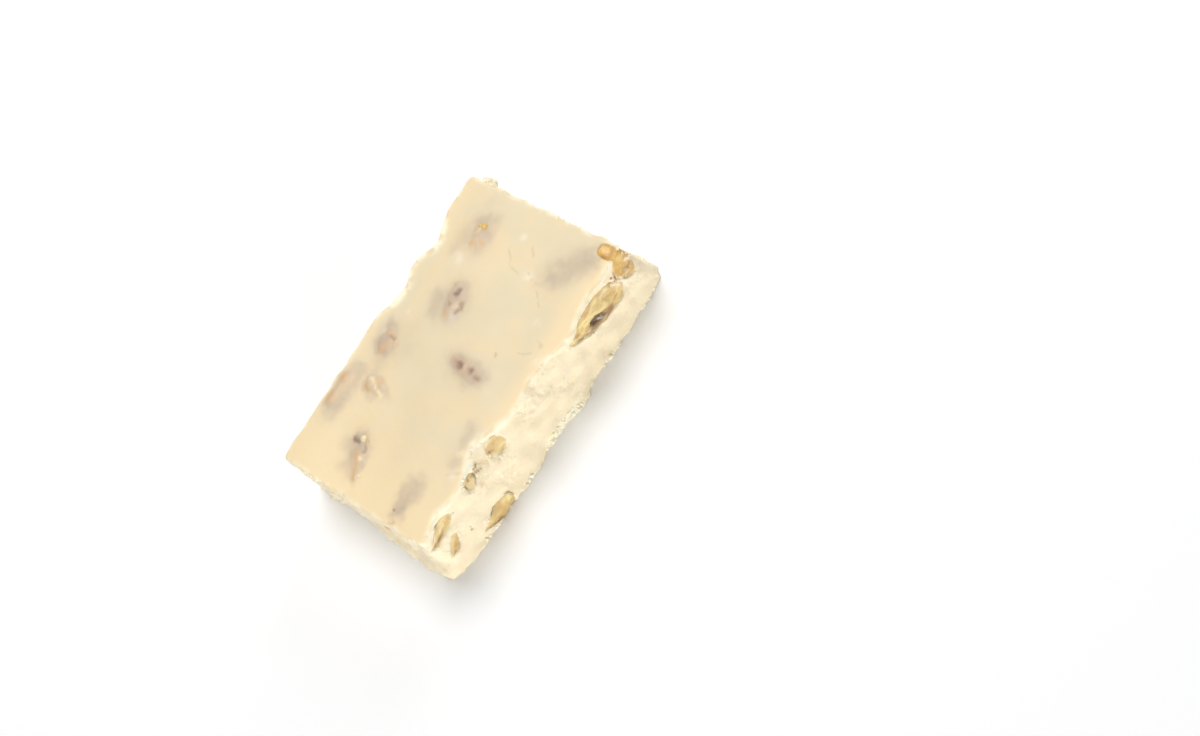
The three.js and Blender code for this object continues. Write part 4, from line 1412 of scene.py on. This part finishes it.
class Paint:
    """A material and what makes its nodes. A share, number or colour may be a fixed value or a socket."""

    def __init__(self, name):
        self.material = bpy.data.materials.new(name)
        self.material.use_nodes = True
        self.nodes = self.material.node_tree.nodes
        self.links = self.material.node_tree.links

    def feed(self, socket, value):
        if isinstance(value, bpy.types.NodeSocket):
            self.links.new(value, socket)
        else:
            socket.default_value = value

    def number(self, name):
        """One of the numbers that a mesh carries at its points."""
        node = self.nodes.new("ShaderNodeAttribute")
        node.attribute_name = name
        return node.outputs["Fac"]

    def mixed(self, share, first, second):
        """Two colours mixed by a share of the second."""
        node = self.nodes.new("ShaderNodeMix")
        node.data_type = "RGBA"
        for index, value in ((0, share), (6, first), (7, second)):
            self.feed(node.inputs[index], value)
        return node.outputs[2]

    def maths(self, kind, *values):
        node = self.nodes.new("ShaderNodeMath")
        node.operation = kind
        for socket, value in zip(node.inputs, values):
            self.feed(socket, value)
        return node.outputs["Value"]

    def ranged(self, value, low, high, to_low, to_high):
        """A smooth step from to_low, where the value is low, to to_high, where it is high."""
        node = self.nodes.new("ShaderNodeMapRange")
        node.interpolation_type = "SMOOTHSTEP"
        keys = ("Value", "From Min", "From Max", "To Min", "To Max")
        for key, number in zip(keys, (value, low, high, to_low, to_high)):
            self.feed(node.inputs[key], number)
        return node.outputs["Result"]

    def texture(self, kind, size):
        """A texture over the object's own space, with blobs of about size millimetres."""
        place = self.nodes.new("ShaderNodeTexCoord")
        node = self.nodes.new(kind)
        self.links.new(place.outputs["Object"], node.inputs["Vector"])
        node.inputs["Scale"].default_value = 1 / (size * MM)
        return node

    def noise(self, size, detail):
        node = self.texture("ShaderNodeTexNoise", size)
        node.inputs["Detail"].default_value = detail
        return node.outputs["Fac"]

    def spread(self, size, detail, low, high, strength):
        """Patches in which a colour spreads."""
        return self.ranged(self.noise(size, detail), low, high, 0.0, strength)

    def flecks(self, apart, thin, end, share):
        """Scattered flecks, as a share of another number."""
        away = self.texture("ShaderNodeTexVoronoi", apart).outputs["Distance"]
        return self.maths("MULTIPLY", self.ranged(away, thin, end, 1.0, 0.0), share)

    def bumps(self, size, detail, height, share=1.0):
        """Fine bumps of a height in millimetres, as a share of another number."""
        node = self.nodes.new("ShaderNodeBump")
        node.inputs["Distance"].default_value = height * MM
        node.inputs["Strength"].default_value = 1.0
        self.feed(node.inputs["Height"], self.maths("MULTIPLY", self.noise(size, detail), share))
        return node.outputs["Normal"]

    def finished(self, inputs):
        """The material, with these inputs of its shader filled in."""
        for key, value in inputs.items():
            self.feed(self.nodes["Principled BSDF"].inputs[key], value)
        return self.material


def fudge_top_colour(paint):
    """Colour of the satin top, with what shows on it and through it, and a painted glow near its edges."""
    smudge = paint.number("smudge")
    colour = paint.mixed(paint.spread(*TOP_PATCHES), TOP_COLOUR, TOP_COLOUR_WARM)
    colour = paint.mixed(paint.spread(*TOP_CLOUDS), colour, TOP_COLOUR_GREY)
    # painted glow of light seeping in near the top's edges
    colour = paint.mixed(paint.number("edge"), colour, EDGE_GLOW_COLOUR)
    for (low, high), smudge_colour in SMUDGE_COLOURS:
        colour = paint.mixed(paint.ranged(smudge, low, high, 0.0, 1.0), colour, smudge_colour)
    colour = paint.mixed(paint.number("bloom"), colour, BLOOM_COLOUR)
    for kind, look in SPOT_LOOKS.items():
        colour = paint.mixed(paint.number(f"spot_{kind}"), colour, look["colour"])
    return paint.mixed(paint.maths("MULTIPLY", paint.number("crack"), CRACK["dark"]), colour, CRACK_COLOUR)


def fudge_side_colour(paint):
    """Colour of the cut sides: mottled, with pale flecks where they are torn and painted shade in the pits.
    """
    colour = paint.mixed(paint.spread(*CUT_MOTTLE), CUT_COLOUR, CUT_COLOUR_PINK)
    colour = paint.mixed(paint.flecks(*FUDGE_FLECK, paint.number("torn")), colour, RIM_COLOUR)
    # painted shade in the pits
    return paint.mixed(paint.maths("MULTIPLY", paint.number("hollow"), PIT_PAINTED_SHADE), colour, CUT_PAINTED_SHADE_COLOUR)


def fudge_material():
    """Cream fudge: satin and smudged on top, dull, pale and grainy where it is cut."""
    paint = Paint("fudge")
    cut = paint.number("cut")
    colour = paint.mixed(cut, fudge_top_colour(paint), fudge_side_colour(paint))
    # the rim number paints a highlight along the rim, with pale crumbled fudge where bitten and at the foot
    return paint.finished({
        "Base Color": paint.mixed(paint.number("rim"), colour, RIM_COLOUR),
        "Roughness": paint.maths("MULTIPLY_ADD", cut, *FUDGE_ROUGHNESS),
        "Normal": paint.bumps(*FUDGE_BUMP, paint.maths("ADD", cut, FUDGE_BUMP_TOP)), **FUDGE_SHEEN,
    })


def crumb_material():
    """Pale crumbs of fudge."""
    paint = Paint("fudge_crumb")
    return paint.finished({
        "Base Color": paint.mixed(paint.spread(*CRUMB_TONE), CUT_COLOUR, RIM_COLOUR),
        "Normal": paint.bumps(*CRUMB_BUMP), **CRUMB_SHEEN,
    })


def walnut_flesh_colour(paint):
    """Colour of a cut nut's flesh: deeper, paler and golden in places, partly painted shade and highlight,
    with pale grains.
    """
    tone = paint.ranged(paint.spread(*FLESH_TONE), 0.0, 1.0, 0.0, FLESH_PALES)
    colour = paint.mixed(tone, FLESH, FLESH_PALE)
    for key, other in (("shade", FLESH_DEEP_AND_SHADE_COLOUR), ("pale", FLESH_PALE), ("amber", AMBER)):
        colour = paint.mixed(paint.number(key), colour, other)
    return paint.mixed(paint.flecks(*FLESH_FLECK, paint.number("grains")), colour, GRAIN_COLOUR)


def walnut_material():
    """Walnut: tan flesh where it is cut, brown papery skin, and a smear of fudge here and there."""
    paint = Paint("walnut")
    brown = paint.mixed(paint.number("tone"), SKIN, SKIN_DARK)
    # the hollow's core is painted darker with shade
    brown = paint.mixed(paint.number("lined"), brown, HOLLOW_SKIN_AND_SHADE_COLOUR)
    colour = paint.mixed(paint.number("skin"), walnut_flesh_colour(paint), brown)
    return paint.finished({
        "Base Color": paint.mixed(paint.number("film"), colour, FILM_COLOUR),
        "Roughness": paint.maths("MULTIPLY_ADD", paint.number("gloss"), *WALNUT_ROUGHNESS),
        "Normal": paint.bumps(*WALNUT_BUMP), **WALNUT_SHEEN,
    })


# Stage


def add_floor():
    """A plain, nearly white table."""
    mesh = bpy.data.meshes.new("floor")
    corners = [(x * FLOOR_HALF, y * FLOOR_HALF, FLOOR_LEVEL) for x, y in ((-1, -1), (1, -1), (1, 1), (-1, 1))]
    mesh.from_pydata(corners, [], [(0, 1, 2, 3)])
    mesh.materials.append(Paint("floor").finished(FLOOR_SHEEN))
    floor = bpy.data.objects.new("floor", mesh)
    bpy.context.scene.collection.objects.link(floor)


def add_lights():
    """A bright even room, with soft light from over the back and fills from the front and the far end."""
    scene = bpy.context.scene
    scene.view_settings.view_transform = "Standard"
    scene.world = bpy.data.worlds.new("room")
    scene.world.use_nodes = True
    background = scene.world.node_tree.nodes["Background"]
    background.inputs["Color"].default_value = ROOM_COLOUR
    background.inputs["Strength"].default_value = ROOM_STRENGTH
    for name, (place, size, power, colour) in LIGHTS.items():
        light = bpy.data.lights.new(name, "AREA")
        light.shape = "DISK"
        light.size = size
        light.energy = power
        light.color = colour
        lamp = bpy.data.objects.new(name, light)
        lamp.location = place
        lamp.rotation_euler = (-Vector(place)).to_track_quat("-Z", "Y").to_euler()
        scene.collection.objects.link(lamp)


def add_camera():
    data = bpy.data.cameras.new("camera")
    data.lens = CAMERA_LENS
    data.sensor_fit = "HORIZONTAL"
    data.sensor_width = CAMERA_SENSOR
    turn = (Matrix.Rotation(math.radians(CAMERA_AZIMUTH), 4, "Z")
            @ Matrix.Rotation(math.radians(90 - CAMERA_ELEVATION), 4, "X")
            @ Matrix.Rotation(math.radians(CAMERA_ROLL), 4, "Z"))
    back = turn.to_3x3() @ Vector((0, 0, 1))
    place = (Vector(CAMERA_AIM) + back * CAMERA_DISTANCE) * MM
    camera = bpy.data.objects.new("camera", data)
    camera.matrix_world = Matrix.Translation(place) @ turn
    bpy.context.scene.collection.objects.link(camera)
    bpy.context.scene.camera = camera


# Assembly

add_camera()
add_lights()
add_floor()

nuts = all_nuts()
surface, faces, attributes, normals, below = fudge_surface(nuts)
low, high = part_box("fudge")
bare = slab_grid()[0]
shift = (np.array(low) + np.array(high)) / 2 / MM - (bare.min(axis=0) + bare.max(axis=0)) / 2
shift[2] = 0

slab = make_piece("fudge_slab", surface + shift, faces, attributes, fudge_material())
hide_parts("fudge")

walnut = walnut_material()
surfaces = [surface]
for nut in nuts:
    points, faces, attributes = nut_surface(nut)
    surfaces.append(points)
    name = nut["node"].replace("walnut", "nut")
    piece = make_piece(name, points + shift, faces, attributes, walnut)
    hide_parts(nut["node"])

crumb_points, crumb_faces = crumb_mesh(*crumb_places(surface, normals, below, nuts), CRUMB_SEED)
crumb_points[:, 2] = np.maximum(crumb_points[:, 2], 0)
make_piece("fudge_crumbs", crumb_points + shift, crumb_faces, {}, crumb_material())

speck_points, speck_faces, speck_numbers = specks(np.concatenate(surfaces))
make_piece("walnut_specks", speck_points + shift, speck_faces, speck_numbers, walnut)
